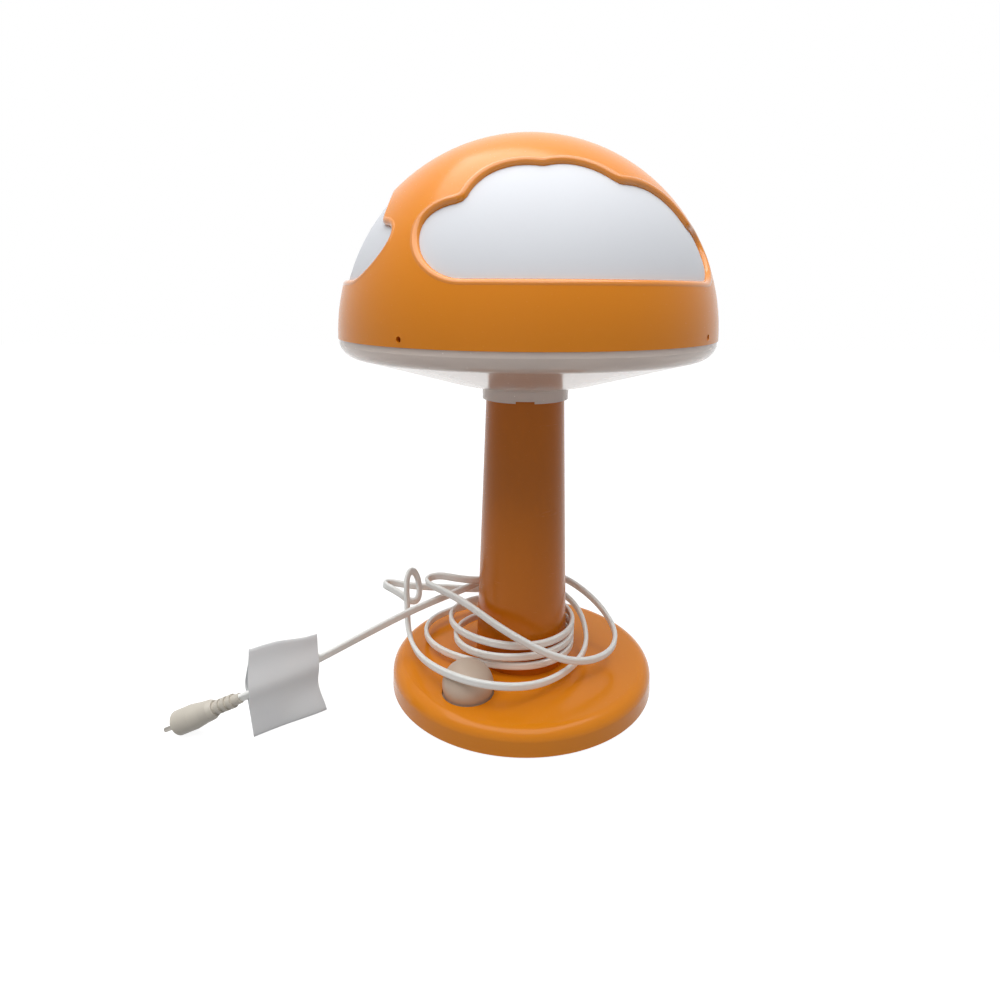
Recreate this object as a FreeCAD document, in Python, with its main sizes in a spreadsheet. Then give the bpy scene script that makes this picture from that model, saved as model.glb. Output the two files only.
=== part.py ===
"""Mushroom table lamp: a domed shade with cloud windows lifts off a tapered stem on a weighted base.

Millimetres, +Z up. The origin is on the surface the lamp stands on, on the axis of the stem.
The push button is at the front left. Azimuths run from the front, where -Y is, towards +X.
"""

import FreeCAD, Part
import math
import os
import re

import Sketcher

SIZES = {
    # base
    "base_radius": 97.5,
    "base_height": 20.0,
    "base_draft": 0.6,
    "base_rounding": 9.0,
    "base_wall": 2.5,
    "foot_radius": 8.0,
    "foot_circle": 78.0,
    "foot_lift": 1.5,
    "foot_recess": 0.8,
    "cover_thickness": 2.0,
    "cover_boss_radius": 5.0,
    "cover_boss_inset": 13.5,
    "cover_screw_length": 8.0,
    "cover_pilot_depth": 9.5,
    "weight_thickness": 6.0,
    "weight_bore_radius": 46.0,
    "weight_margin": 4.0,
    "weight_room": 1.0,
    "weight_channel_start": 30.0,
    "weight_channel_room": 3.0,
    "wire_hole_radius": 14.0,
    "screw_shank_radius": 1.5,
    "screw_head_radius": 3.2,
    "screw_head_height": 2.0,
    "small_head_radius": 2.0,
    "small_head_height": 1.5,
    # push button and its switch
    "button_radius": 17.6,
    "button_rise": 5.8,
    "button_circle": 65.2,
    "button_azimuth": 33.5,
    "button_wall": 2.0,
    "button_travel": 3.0,
    "button_post_radius": 4.5,
    "button_flange": 3.0,
    "switch_length": 24.0,
    "switch_width": 14.0,
    "switch_height": 8.0,
    "plunger_radius": 3.0,
    "plunger_clear": 1.0,
    "switch_ear": 6.0,
    "switch_ear_height": 2.0,
    # stem
    "stem_foot_radius": 34.1,
    "stem_neck_radius": 25.6,
    "stem_length": 212.0,
    "stem_wall": 2.5,
    "stem_boss_radius": 4.5,
    "stem_boss_height": 14.0,
    "stem_boss_overlap": 1.0,
    "stem_screw_bite": 9.0,
    "boss_floor": 2.0,
    "neck_boss_height": 12.0,
    "neck_boss_radius": 4.2,
    "latch_dimple_radius": 1.2,
    "latch_dimple_aside": 3.0,
    "latch_dimple_drop": 3.4,
    # lampholder and bulb
    "bracket_thickness": 1.5,
    "bracket_width": 12.0,
    "bracket_drop": 6.0,
    "bracket_end_gap": 1.2,
    "bracket_rim": 1.5,
    "bracket_screw_length": 9.0,
    "holder_radius": 13.5,
    "holder_height": 32.0,
    "holder_wall": 4.0,
    "holder_skirt_height": 17.6,
    "holder_shoulder_height": 19.2,
    "holder_step": 1.5,
    "holder_floor_drop": 3.0,
    "thread_collar_drop": 5.0,
    "thread_collar_height": 1.0,
    "contact_height": 2.0,
    "contact_sink": 1.0,
    "thread_sleeve_wall": 0.6,
    "cap_radius": 7.0,
    "cap_length": 20.0,
    "cap_shoulder": 1.5,
    "cap_chamfer": 1.0,
    "cap_tip_radius": 2.4,
    "cap_tip_length": 1.6,
    "bulb_neck_radius": 12.0,
    "bulb_neck_length": 12.0,
    "bulb_radius": 22.0,
    "bulb_wall": 1.0,
    # clear tray under the shade
    "tray_inset": 0.64,
    "tray_wall": 2.0,
    "tray_corner_drop": 8.4,
    "tray_corner_inset": 9.3,
    "tray_corner_bend": 10.9,
    "tray_band_height": 3.2,
    "tray_cone_foot_radius": 47.0,
    "tray_cone_drop": 17.6,
    "collar_radius": 28.8,
    "collar_gap": 0.9,
    "collar_drop": 8.9,
    "collar_shoulder": 2.0,
    "collar_rounding": 1.5,
    "collar_notch_width": 12.0,
    "collar_notch_height": 1.4,
    "latch_width": 8.0,
    "latch_slit": 0.9,
    "latch_top_drop": 0.6,
    "latch_foot_rise": 0.5,
    "spigot_wall": 2.0,
    "seat_thickness": 2.0,
    "bulb_room": 1.0,
    # orange dome and opal diffuser
    "dome_radius": 120.0,
    "dome_wall": 4.4,
    "dome_centre_height": 250.6,
    "rim_height": 254.3,
    "window_azimuth": 22.0,
    "window_sill": 287.0,
    "window_corner": 7.0,
    "window_lip": 2.0,
    "snap_radius": 1.6,
    "snap_height": 258.3,
    "snap_azimuth": 57.0,
    "snap_ring_rise": 3.2,
    "snap_nub_rise": 0.35,
    "spigot_gap": 1.0,
    "diffuser_wall": 1.6,
    # cord, its gland and what is on it
    "cord_width": 6.0,
    "gland_height": 9.2,
    "gland_radius": 5.6,
    "gland_lip": 1.0,
    "gland_flange": 1.7,
    "gland_length": 20.0,
    "gland_tip_wall": 1.0,
    "winding_radius": 38.2,
    "winding_first_height": 26.5,
    "winding_climb": 8.0,
    "terminal_length": 22.0,
    "terminal_width": 12.0,
    "terminal_height": 10.0,
    "terminal_y": 14.0,
    "terminal_well_radius": 2.0,
    "terminal_well_depth": 3.0,
    "terminal_screw_radius": 1.8,
    "terminal_screw_height": 1.6,
    "clamp_length": 20.0,
    "clamp_width": 7.0,
    "clamp_thickness": 2.0,
    "clamp_y": 55.0,
    "clamp_post_inset": 3.0,
    "clamp_post_radius": 2.8,
    "clamp_screw_radius": 2.5,
    "plug_radius": 8.4,
    "plug_length": 31.0,
    "plug_chamfer": 1.2,
    "relief_length": 20.0,
    "relief_tip": 3.4,
    "relief_waist": 3.7,
    "relief_rib": 4.7,
    "relief_root": 4.0,
    "pin_radius": 1.6,
    "pin_length": 8.0,
    "pin_spacing": 6.5,
    "tag_width": 50.0,
    "tag_height": 66.0,
    "tag_paper": 0.6,
    "tag_room": 1.4,
    "tag_seam": 10.0,
    "tag_slant": 5.5,
    "tag_far_slant": 2.5,
    # clearances
    "fixed_gap": 0.3,
    "sliding_gap": 0.4,
    "stack_gap": 0.1,
    "cut_past": 5.0,
}

WINDINGS = 3
WINDING_START = 50.0
WINDING_LOBES = ((42.0, 65.0), (12.0, 103.0), (19.0, 65.0))
FREE_ROUTE_SHARE = 0.45

doc = FreeCAD.newDocument("MushroomLamp")
sheet = doc.addObject("Spreadsheet::Sheet", "Sizes")
for row, (alias, value) in enumerate(SIZES.items(), start=1):
    sheet.set(f"A{row}", alias)
    sheet.set(f"B{row}", str(value))
    sheet.setAlias(f"B{row}", alias)
doc.recompute()

parts = []


def on_sheet(text):
    """The expression with each size's name led by the sheet's own."""
    return re.sub(r"[a-z]+(?:_[a-z]+)+", lambda m: "Sizes." + m.group(0), str(text))


def number(text):
    """What an expression comes to now."""
    value = sheet.evalExpression(on_sheet(text).replace("Sizes.", ""))
    return float(getattr(value, "Value", value))


def keep(shape_object, node):
    """Lists a finished piece under the node that it is written as."""
    shape_object.Label = node
    parts.append(shape_object)
    return shape_object


# ---------------------------------------------------------------- sketches and features

def new_body(node):
    body = doc.addObject("PartDesign::Body", node + "_body")
    return keep(body, node)


def origin_plane(body, role):
    return next(f for f in body.Origin.OriginFeatures if f.Role == role)


def new_sketch(body, name, role="XZ_Plane", height="0", azimuth="0"):
    """A sketch on one of the body's origin planes, raised by height or turned about the stem's axis."""
    sketch = body.newObject("Sketcher::SketchObject", name)
    sketch.AttachmentSupport = (origin_plane(body, role), [""])
    sketch.MapMode = "FlatFace"
    if azimuth != "0":
        spin = FreeCAD.Rotation(FreeCAD.Vector(0, 1, 0), number(azimuth))
        sketch.AttachmentOffset = FreeCAD.Placement(FreeCAD.Vector(), spin)
        sketch.setExpression("AttachmentOffset.Rotation.Angle", on_sheet(azimuth))
    if height != "0":
        sketch.setExpression("AttachmentOffset.Base.z", on_sheet(height))
    return sketch


def pin_point(sketch, edge, end, across, up):
    """Holds one end of an edge at a place given by two expressions."""
    for kind, text in (("DistanceX", across), ("DistanceY", up)):
        index = sketch.addConstraint(Sketcher.Constraint(kind, -1, 1, edge, end, number(text)))
        sketch.setExpression(f"Constraints[{index}]", on_sheet(text))


def outline(sketch, corners, arcs=None):
    """A closed outline through corners. arcs gives, for an edge's number, its radius and side (1 is left)."""
    arcs = arcs or {}
    places = [FreeCAD.Vector(number(a), number(b), 0) for a, b in corners]
    starts = []
    for i, start in enumerate(places):
        end = places[(i + 1) % len(places)]
        if i in arcs:
            radius, side = number(arcs[i][0]), arcs[i][1]
            chord = end - start
            left = FreeCAD.Vector(-chord.y, chord.x, 0).normalize()
            reach = math.sqrt(max(radius**2 - (chord.Length / 2) ** 2, 0))
            bulge = (radius - reach) * side
            middle = (start + end) * 0.5 + left * bulge
            anticlockwise = (start, middle, end) if side < 0 else (end, middle, start)
            sketch.addGeometry(Part.Arc(*anticlockwise), False)
            starts.append(1 if side < 0 else 2)
        else:
            sketch.addGeometry(Part.LineSegment(start, end), False)
            starts.append(1)
    for i in range(len(places)):
        after = (i + 1) % len(places)
        here = sketch.addConstraint
        here(Sketcher.Constraint("Coincident", i, 3 - starts[i], after, starts[after]))
        pin_point(sketch, i, starts[i], *corners[i])
        if i in arcs:
            index = here(Sketcher.Constraint("Radius", i, number(arcs[i][0])))
            sketch.setExpression(f"Constraints[{index}]", on_sheet(arcs[i][0]))
    return sketch


def circles(sketch, radius, centres):
    """Circles of one radius at centres given by pairs of expressions."""
    for across, up in centres:
        place = FreeCAD.Vector(number(across), number(up), 0)
        circle = Part.Circle(place, FreeCAD.Vector(0, 0, 1), number(radius))
        edge = sketch.addGeometry(circle, False)
        pin_point(sketch, edge, 3, across, up)
        index = sketch.addConstraint(Sketcher.Constraint("Radius", edge, number(radius)))
        sketch.setExpression(f"Constraints[{index}]", on_sheet(radius))
    return sketch


def feature(body, kind, name, sketch, length=None, reversed_way=False):
    made = body.newObject("PartDesign::" + kind, name)
    made.Profile = sketch
    if kind in ("Revolution", "Groove"):
        made.ReferenceAxis = (sketch, ["V_Axis"])
        made.Angle = 360.0
    if length is not None:
        made.setExpression("Length", on_sheet(length))
    if reversed_way:
        made.Reversed = True
    sketch.Visibility = False
    doc.recompute()
    return made


def revolved(node, corners, arcs=None, azimuth="0"):
    """A body turned about the stem's axis from an outline, which starts in the plane at the azimuth."""
    body = new_body(node)
    profile = outline(new_sketch(body, node + "_profile", "XZ_Plane", "0", azimuth), corners, arcs)
    feature(body, "Revolution", node + "_turn", profile)
    return body


def polar(body, name, features, count):
    pattern = body.newObject("PartDesign::PolarPattern", name)
    pattern.Originals = features
    pattern.Axis = (next(f for f in body.Origin.OriginFeatures if f.Role == "Z_Axis"), [""])
    pattern.Angle = 360.0
    pattern.Occurrences = count
    body.Tip = pattern
    doc.recompute()
    return pattern


def around(circle, azimuth):
    """The place on a circle about the stem's axis, as two expressions."""
    return (f"({circle}) * sin({azimuth})", f"-({circle}) * cos({azimuth})")


# ---------------------------------------------------------------- primitives

def placed(shape_object, x="0", y="0", z="0", rotation=None):
    if rotation:
        shape_object.Placement.Rotation = rotation
    for axis, text in (("x", x), ("y", y), ("z", z)):
        if str(text) != "0":
            shape_object.setExpression(f"Placement.Base.{axis}", on_sheet(text))
    return shape_object


def cylinder(name, radius, height, x="0", y="0", z="0", rotation=None):
    made = doc.addObject("Part::Cylinder", name)
    made.setExpression("Radius", on_sheet(radius))
    made.setExpression("Height", on_sheet(height))
    return placed(made, x, y, z, rotation)


def block(name, length, width, height, x="0", y="0", z="0"):
    """A box centred on x and y, standing on z."""
    made = doc.addObject("Part::Box", name)
    for side, text in (("Length", length), ("Width", width), ("Height", height)):
        made.setExpression(side, on_sheet(text))
    return placed(made, f"({x}) - ({length}) / 2", f"({y}) - ({width}) / 2", z)


def joined(name, pieces):
    made = doc.addObject("Part::MultiFuse", name)
    made.Shapes = pieces
    return made


def cut(name, base, tool):
    made = doc.addObject("Part::Cut", name)
    made.Base, made.Tool = base, tool
    return made


def screw(name, x, y, seat, length, head_up, shank="screw_shank_radius"):
    """A pan-head screw whose head bears on seat, its shank running away from the head."""
    head_z = seat if head_up else f"{seat} - screw_head_height"
    shank_z = f"{seat} - ({length})" if head_up else seat
    return joined(name, [
        cylinder(name + "_head", "screw_head_radius", "screw_head_height", x, y, head_z),
        cylinder(name + "_shank", shank, length, x, y, shank_z),
    ])


def group(node, pieces):
    """Separate solids that share one node."""
    made = doc.addObject("Part::Compound", node + "_set")
    made.Links = pieces
    return keep(made, node)


# ---------------------------------------------------------------- heights and places worked out once

BASE_TOP = "base_height"
PLATE_UNDERSIDE = "base_height - base_wall"
COVER_TOP = "foot_lift + cover_thickness"
BUTTON_X, BUTTON_Y = around("button_circle", "-button_azimuth")
BUTTON_CENTRE = "base_height + button_rise"
BUTTON_NECK = "sqrt(button_radius^2 - button_rise^2)"
BUTTON_HOLE = "button_radius + sliding_gap"
BUTTON_FLANGE_TOP = "base_height - base_wall - sliding_gap"
PLUNGER_TOP = "foot_lift + cover_thickness + switch_height + button_travel + plunger_clear"
STEM_TOP = "base_height + stem_length"
BRACKET_SEAT = "base_height + stem_length - bracket_drop"
HOLDER_SEAT = "base_height + stem_length - bracket_drop + bracket_thickness"
HOLDER_TOP = HOLDER_SEAT + " + holder_height"
CAP_FOOT = HOLDER_TOP + " + sliding_gap - cap_length"
NECK_SLOPE = "(stem_foot_radius - stem_neck_radius) / stem_length"
STEM_BOSS_CIRCLE = "stem_foot_radius - stem_wall - stem_boss_radius + stem_boss_overlap"
BRACKET_BORE = "bracket_width / 2 - bracket_rim"
NECK_SCREW_X = "stem_neck_radius - stem_wall - screw_head_radius - fixed_gap"
COVER_BOSS_CIRCLE = "base_radius - cover_boss_inset"
COVER_BOSS_AZIMUTHS = (45, 165, 285)
STEM_SCREW_AZIMUTHS = (90, 210, 330)
FOOT_AZIMUTHS = (0, 90, 180, 270)


# ---------------------------------------------------------------- base

def make_base_shell():
    body = revolved("base_shell", [
        ("0", PLATE_UNDERSIDE),
        ("base_radius - base_draft - base_rounding", PLATE_UNDERSIDE),
        ("base_radius - base_draft - base_wall", "base_height - base_rounding"),
        ("base_radius - base_wall", "foot_lift"),
        ("base_radius", "foot_lift"),
        ("base_radius - base_draft", "base_height - base_rounding"),
        ("base_radius - base_draft - base_rounding", BASE_TOP),
        ("0", BASE_TOP),
    ], {
        1: ("base_rounding - base_wall", 1),
        5: ("base_rounding", -1),
    })
    bosses = circles(
        new_sketch(body, "cover_boss_sketch", "XY_Plane", COVER_TOP),
        "cover_boss_radius",
        [around(COVER_BOSS_CIRCLE, a) for a in COVER_BOSS_AZIMUTHS],
    )
    feature(body, "Pad", "cover_bosses", bosses, f"{PLATE_UNDERSIDE} - ({COVER_TOP}) + 0.5")
    pilots = circles(
        new_sketch(body, "cover_pilot_sketch", "XY_Plane", COVER_TOP),
        "screw_shank_radius",
        [around(COVER_BOSS_CIRCLE, a) for a in COVER_BOSS_AZIMUTHS],
    )
    feature(body, "Pocket", "cover_pilots", pilots, "cover_pilot_depth", True)
    button_hole = circles(
        new_sketch(body, "button_hole_sketch", "XY_Plane", BASE_TOP),
        BUTTON_HOLE, [(BUTTON_X, BUTTON_Y)],
    )
    feature(body, "Pocket", "button_hole", button_hole, "base_wall * 2")
    wire_hole = circles(
        new_sketch(body, "wire_hole_sketch", "XY_Plane", BASE_TOP),
        "wire_hole_radius", [("0", "0")],
    )
    feature(body, "Pocket", "wire_hole", wire_hole, "base_wall * 2")
    screw_holes = circles(
        new_sketch(body, "stem_screw_hole_sketch", "XY_Plane", BASE_TOP),
        "screw_shank_radius + fixed_gap",
        [around(STEM_BOSS_CIRCLE, a) for a in STEM_SCREW_AZIMUTHS],
    )
    feature(body, "Pocket", "stem_screw_holes", screw_holes, "base_wall * 2")
    gland_hole = circles(
        new_sketch(body, "gland_hole_sketch", "XZ_Plane"),
        "gland_radius - gland_lip", [("0", "gland_height")],
    )
    feature(body, "Pocket", "gland_hole", gland_hole, "base_radius + cut_past")
    return body


def make_bottom_cover():
    outer = "base_radius - base_wall - fixed_gap"
    body = revolved("base_bottom_cover", [
        ("0", "foot_lift"), (outer, "foot_lift"), (outer, COVER_TOP), ("0", COVER_TOP),
    ])
    recesses = circles(
        new_sketch(body, "foot_recess_sketch", "XY_Plane", "foot_lift"),
        "foot_radius + fixed_gap / 3", [around("foot_circle", a) for a in FOOT_AZIMUTHS],
    )
    feature(body, "Pocket", "foot_recesses", recesses, "foot_recess", True)
    holes = circles(
        new_sketch(body, "cover_hole_sketch", "XY_Plane", "foot_lift"),
        "screw_shank_radius + fixed_gap",
        [around(COVER_BOSS_CIRCLE, a) for a in COVER_BOSS_AZIMUTHS],
    )
    feature(body, "Pocket", "cover_holes", holes, "cover_thickness", True)
    head_wells = circles(
        new_sketch(body, "cover_well_sketch", "XY_Plane", "foot_lift"),
        "screw_head_radius + fixed_gap",
        [around(COVER_BOSS_CIRCLE, a) for a in COVER_BOSS_AZIMUTHS],
    )
    feature(body, "Pocket", "cover_wells", head_wells, "cover_thickness / 2", True)
    posts = circles(
        new_sketch(body, "clamp_post_sketch", "XY_Plane", COVER_TOP),
        "clamp_post_radius",
        [(f"({side}) * (clamp_length / 2 - clamp_post_inset)", "clamp_y") for side in (-1, 1)],
    )
    feature(body, "Pad", "clamp_posts", posts, f"gland_height + cord_width / 2 - ({COVER_TOP})")
    return body


def make_feet():
    group("base_feet", [
        cylinder(f"foot_{a}", "foot_radius", "foot_lift + foot_recess", *around("foot_circle", a), "0")
        for a in FOOT_AZIMUTHS
    ])


def make_weight():
    outer = "base_radius - base_draft - base_wall - weight_margin"
    body = revolved("base_weight", [
        ("weight_bore_radius", COVER_TOP),
        (outer, COVER_TOP),
        (outer, f"{COVER_TOP} + weight_thickness"),
        ("weight_bore_radius", f"{COVER_TOP} + weight_thickness"),
    ])
    top = f"{COVER_TOP} + weight_thickness"
    bosses = circles(
        new_sketch(body, "weight_boss_sketch", "XY_Plane", top),
        "cover_boss_radius + weight_room", [around(COVER_BOSS_CIRCLE, a) for a in COVER_BOSS_AZIMUTHS],
    )
    feature(body, "Pocket", "boss_notches", bosses, "weight_thickness + weight_room")
    button = circles(
        new_sketch(body, "weight_button_sketch", "XY_Plane", top),
        "button_radius + button_flange + 2 * weight_room", [(BUTTON_X, BUTTON_Y)],
    )
    feature(body, "Pocket", "button_notch", button, "weight_thickness + weight_room")
    side = "clamp_length / 2 + weight_channel_room"
    channel = outline(new_sketch(body, "weight_channel_sketch", "XY_Plane", top), [
        (f"-({side})", "weight_channel_start"),
        (side, "weight_channel_start"),
        (side, "base_radius"),
        (f"-({side})", "base_radius"),
    ])
    feature(body, "Pocket", "cord_channel", channel, "weight_thickness + weight_room")
    return body


def make_base_screws():
    seat = "foot_lift + cover_thickness / 2"
    bite = "base_wall + stem_screw_bite"
    group("base_cover_screws", [
        screw(f"cover_screw_{a}", *around(COVER_BOSS_CIRCLE, a), seat, "cover_screw_length", False)
        for a in COVER_BOSS_AZIMUTHS
    ])
    group("stem_screws", [
        screw(f"stem_screw_{a}", *around(STEM_BOSS_CIRCLE, a), PLATE_UNDERSIDE, bite, False)
        for a in STEM_SCREW_AZIMUTHS
    ])


# ---------------------------------------------------------------- push button and switch

def make_button():
    flange = "button_radius + button_flange"
    bore = f"{BUTTON_NECK} - button_wall"
    body = new_body("push_button")
    post_top = f"{BUTTON_CENTRE} + sqrt((button_radius - button_wall)^2 - button_post_radius^2)"
    sketch = outline(new_sketch(body, "push_button_profile"), [
        (BUTTON_NECK, BASE_TOP),
        ("0", f"{BUTTON_CENTRE} + button_radius"),
        ("0", PLUNGER_TOP),
        ("button_post_radius", PLUNGER_TOP),
        ("button_post_radius", post_top),
        (bore, f"{BUTTON_CENTRE} - sqrt((button_radius - button_wall)^2 - ({bore})^2)"),
        (bore, f"{BUTTON_FLANGE_TOP} - button_wall"),
        (flange, f"{BUTTON_FLANGE_TOP} - button_wall"),
        (flange, BUTTON_FLANGE_TOP),
        (BUTTON_NECK, BUTTON_FLANGE_TOP),
    ], {0: ("button_radius", -1), 4: ("button_radius - button_wall", 1)})
    feature(body, "Revolution", "push_button_turn", sketch)
    body.setExpression("Placement.Base.x", on_sheet(BUTTON_X))
    body.setExpression("Placement.Base.y", on_sheet(BUTTON_Y))
    return body


def make_switch():
    body_z = COVER_TOP
    shell = joined("switch_block", [
        block("switch_case", "switch_length", "switch_width", "switch_height", BUTTON_X, BUTTON_Y, body_z),
        block("switch_ears", "switch_length + 2 * switch_ear", "switch_width / 2", "switch_ear_height",
              BUTTON_X, BUTTON_Y, body_z),
    ])
    bore = cylinder("switch_bore", "plunger_radius + fixed_gap", "switch_height",
                    BUTTON_X, BUTTON_Y, f"{body_z} + switch_height / 4")
    keep(cut("switch_body_cut", shell, bore), "switch_body")
    foot = f"{body_z} + switch_height / 4 + button_travel + sliding_gap"
    keep(cylinder("plunger_rod", "plunger_radius", f"{PLUNGER_TOP} - ({foot})", BUTTON_X, BUTTON_Y, foot),
         "switch_plunger")
    group("switch_screws", [
        cylinder(f"switch_screw_{side}", "small_head_radius", "small_head_height",
                 f"{BUTTON_X} + ({side}) * (switch_length + switch_ear) / 2",
                 BUTTON_Y, f"{body_z} + switch_ear_height")
        for side in (-1, 1)
    ])


# ---------------------------------------------------------------- stem and lampholder

def stem_radius_at(height):
    return f"stem_foot_radius - ({NECK_SLOPE}) * ({height} - base_height)"


def make_stem():
    body = revolved("stem", [
        ("stem_foot_radius - stem_wall", BASE_TOP),
        ("stem_foot_radius", BASE_TOP),
        ("stem_neck_radius", STEM_TOP),
        ("stem_neck_radius - stem_wall", STEM_TOP),
    ])
    bosses = circles(
        new_sketch(body, "stem_boss_sketch", "XY_Plane", BASE_TOP),
        "stem_boss_radius", [around(STEM_BOSS_CIRCLE, a) for a in STEM_SCREW_AZIMUTHS],
    )
    feature(body, "Pad", "stem_bosses", bosses, "stem_boss_height")
    pilots = circles(
        new_sketch(body, "stem_pilot_sketch", "XY_Plane", BASE_TOP),
        "screw_shank_radius", [around(STEM_BOSS_CIRCLE, a) for a in STEM_SCREW_AZIMUTHS],
    )
    feature(body, "Pocket", "stem_pilots", pilots, "stem_boss_height - boss_floor", True)
    neck = [(f"({side}) * ({NECK_SCREW_X})", "0") for side in (-1, 1)]
    neck_bosses = circles(
        new_sketch(body, "neck_boss_sketch", "XY_Plane", f"{BRACKET_SEAT} - neck_boss_height"),
        "neck_boss_radius", neck,
    )
    feature(body, "Pad", "neck_bosses", neck_bosses, "neck_boss_height")
    neck_pilots = circles(
        new_sketch(body, "neck_pilot_sketch", "XY_Plane", f"{BRACKET_SEAT} - neck_boss_height + boss_floor"),
        "screw_shank_radius", neck,
    )
    feature(body, "Pocket", "neck_pilots", neck_pilots, "neck_boss_height", True)
    dimple = circles(
        new_sketch(body, "latch_dimple_sketch", "XZ_Plane"),
        "latch_dimple_radius", [("-latch_dimple_aside", f"{STEM_TOP} - latch_dimple_drop")],
    )
    feature(body, "Pocket", "latch_dimple", dimple, "stem_foot_radius", True)
    return body


def make_lampholder():
    strip = block("bracket_strip", "2 * (stem_neck_radius - stem_wall - bracket_end_gap)", "bracket_width",
                  "bracket_thickness", "0", "0", BRACKET_SEAT)
    holes = joined("bracket_holes", [
        cylinder("bracket_wire_hole", BRACKET_BORE, "bracket_thickness", "0", "0", BRACKET_SEAT),
        *(
            cylinder(f"bracket_screw_hole_{side}", "screw_shank_radius", "bracket_thickness",
                     f"({side}) * ({NECK_SCREW_X})", "0", BRACKET_SEAT)
            for side in (-1, 1)
        ),
    ])
    keep(cut("bracket_cut", strip, holes), "holder_bracket")
    group("bracket_screws", [
        screw(f"bracket_screw_{side}", f"({side}) * ({NECK_SCREW_X})", "0",
              HOLDER_SEAT, "bracket_screw_length", True)
        for side in (-1, 1)
    ])
    bore = "holder_radius - holder_wall"
    floor_z = f"{HOLDER_TOP} - cap_length - holder_floor_drop"
    revolved("lampholder_body", [
        (BRACKET_BORE, HOLDER_SEAT),
        ("holder_radius", HOLDER_SEAT),
        ("holder_radius", f"{HOLDER_SEAT} + holder_skirt_height"),
        ("holder_radius - holder_step", f"{HOLDER_SEAT} + holder_shoulder_height"),
        ("holder_radius - holder_step", HOLDER_TOP),
        (bore, HOLDER_TOP),
        (bore, floor_z),
        (BRACKET_BORE, floor_z),
    ])
    sleeve_inner = f"cap_radius + fixed_gap"
    revolved("lampholder_thread", [
        (sleeve_inner, f"{floor_z} + holder_floor_drop"),
        (f"{sleeve_inner} + thread_sleeve_wall", f"{floor_z} + holder_floor_drop"),
        (f"{sleeve_inner} + thread_sleeve_wall", f"{HOLDER_TOP} - thread_collar_drop"),
        (bore, f"{HOLDER_TOP} - thread_collar_drop"),
        (bore, f"{HOLDER_TOP} - thread_collar_drop + thread_collar_height"),
        (sleeve_inner, f"{HOLDER_TOP} - thread_collar_drop + thread_collar_height"),
    ])
    spring = cylinder("contact_spring", BRACKET_BORE, "contact_height", "0", "0", f"{floor_z} - contact_sink")
    keep(spring, "lampholder_contact")


def make_bulb():
    revolved("bulb_cap", [
        ("0", f"{CAP_FOOT} - cap_tip_length"),
        ("cap_tip_radius", f"{CAP_FOOT} - cap_tip_length"),
        ("cap_tip_radius", CAP_FOOT),
        ("cap_radius - cap_chamfer", CAP_FOOT),
        ("cap_radius", f"{CAP_FOOT} + cap_shoulder"),
        ("cap_radius", f"{CAP_FOOT} + cap_length"),
        ("0", f"{CAP_FOOT} + cap_length"),
    ])
    neck_foot = f"{CAP_FOOT} + cap_length"
    neck_top = f"{neck_foot} + bulb_neck_length"
    revolved("bulb_housing", [
        ("0", neck_foot),
        ("cap_radius", neck_foot),
        ("bulb_neck_radius", neck_top),
        ("0", neck_top),
    ])
    centre = f"{neck_top} + sqrt(bulb_radius^2 - bulb_neck_radius^2)"
    inner = "bulb_neck_radius - bulb_wall"
    revolved("bulb_globe", [
        ("0", f"{centre} + bulb_radius"),
        ("0", f"{centre} + bulb_radius - bulb_wall"),
        (inner, f"{centre} - sqrt((bulb_radius - bulb_wall)^2 - ({inner})^2)"),
        (inner, neck_top),
        ("bulb_neck_radius", neck_top),
    ], {1: ("bulb_radius - bulb_wall", 1), 4: ("bulb_radius", -1)})


# ---------------------------------------------------------------- shade

TRAY_RADIUS = "sqrt(dome_radius^2 - (rim_height - dome_centre_height)^2) - tray_inset"
TRAY_CORNER_RADIUS = f"{TRAY_RADIUS} - tray_corner_inset"
TRAY_RIM = "rim_height - stack_gap"
TRAY_BAND_FOOT = f"{TRAY_RIM} - tray_band_height"
TRAY_CORNER = f"{TRAY_BAND_FOOT} - tray_corner_drop"
TRAY_CONE_FOOT = f"{TRAY_CORNER} - tray_cone_drop"
TRAY_SEAT = f"{STEM_TOP} + stack_gap"
COLLAR_TOP = f"{TRAY_CONE_FOOT} - collar_shoulder"
SPIGOT_RING = "dome_radius - dome_wall - spigot_gap"
SNAP_RING_TOP = "snap_height + snap_ring_rise"
DOME_SEAM = "-8"
CLOUD_LOBES = (
    # across, up from the sill, radius
    (69.0, 14.5, 14.5),
    (26.0, -5.4, 54.0),
    (-7.7, 15.6, 41.8),
    (-27.0, 15.3, 41.0),
    (-60.9, 14.0, 23.4),
    (-70.3, 14.0, 14.0),
)


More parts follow.
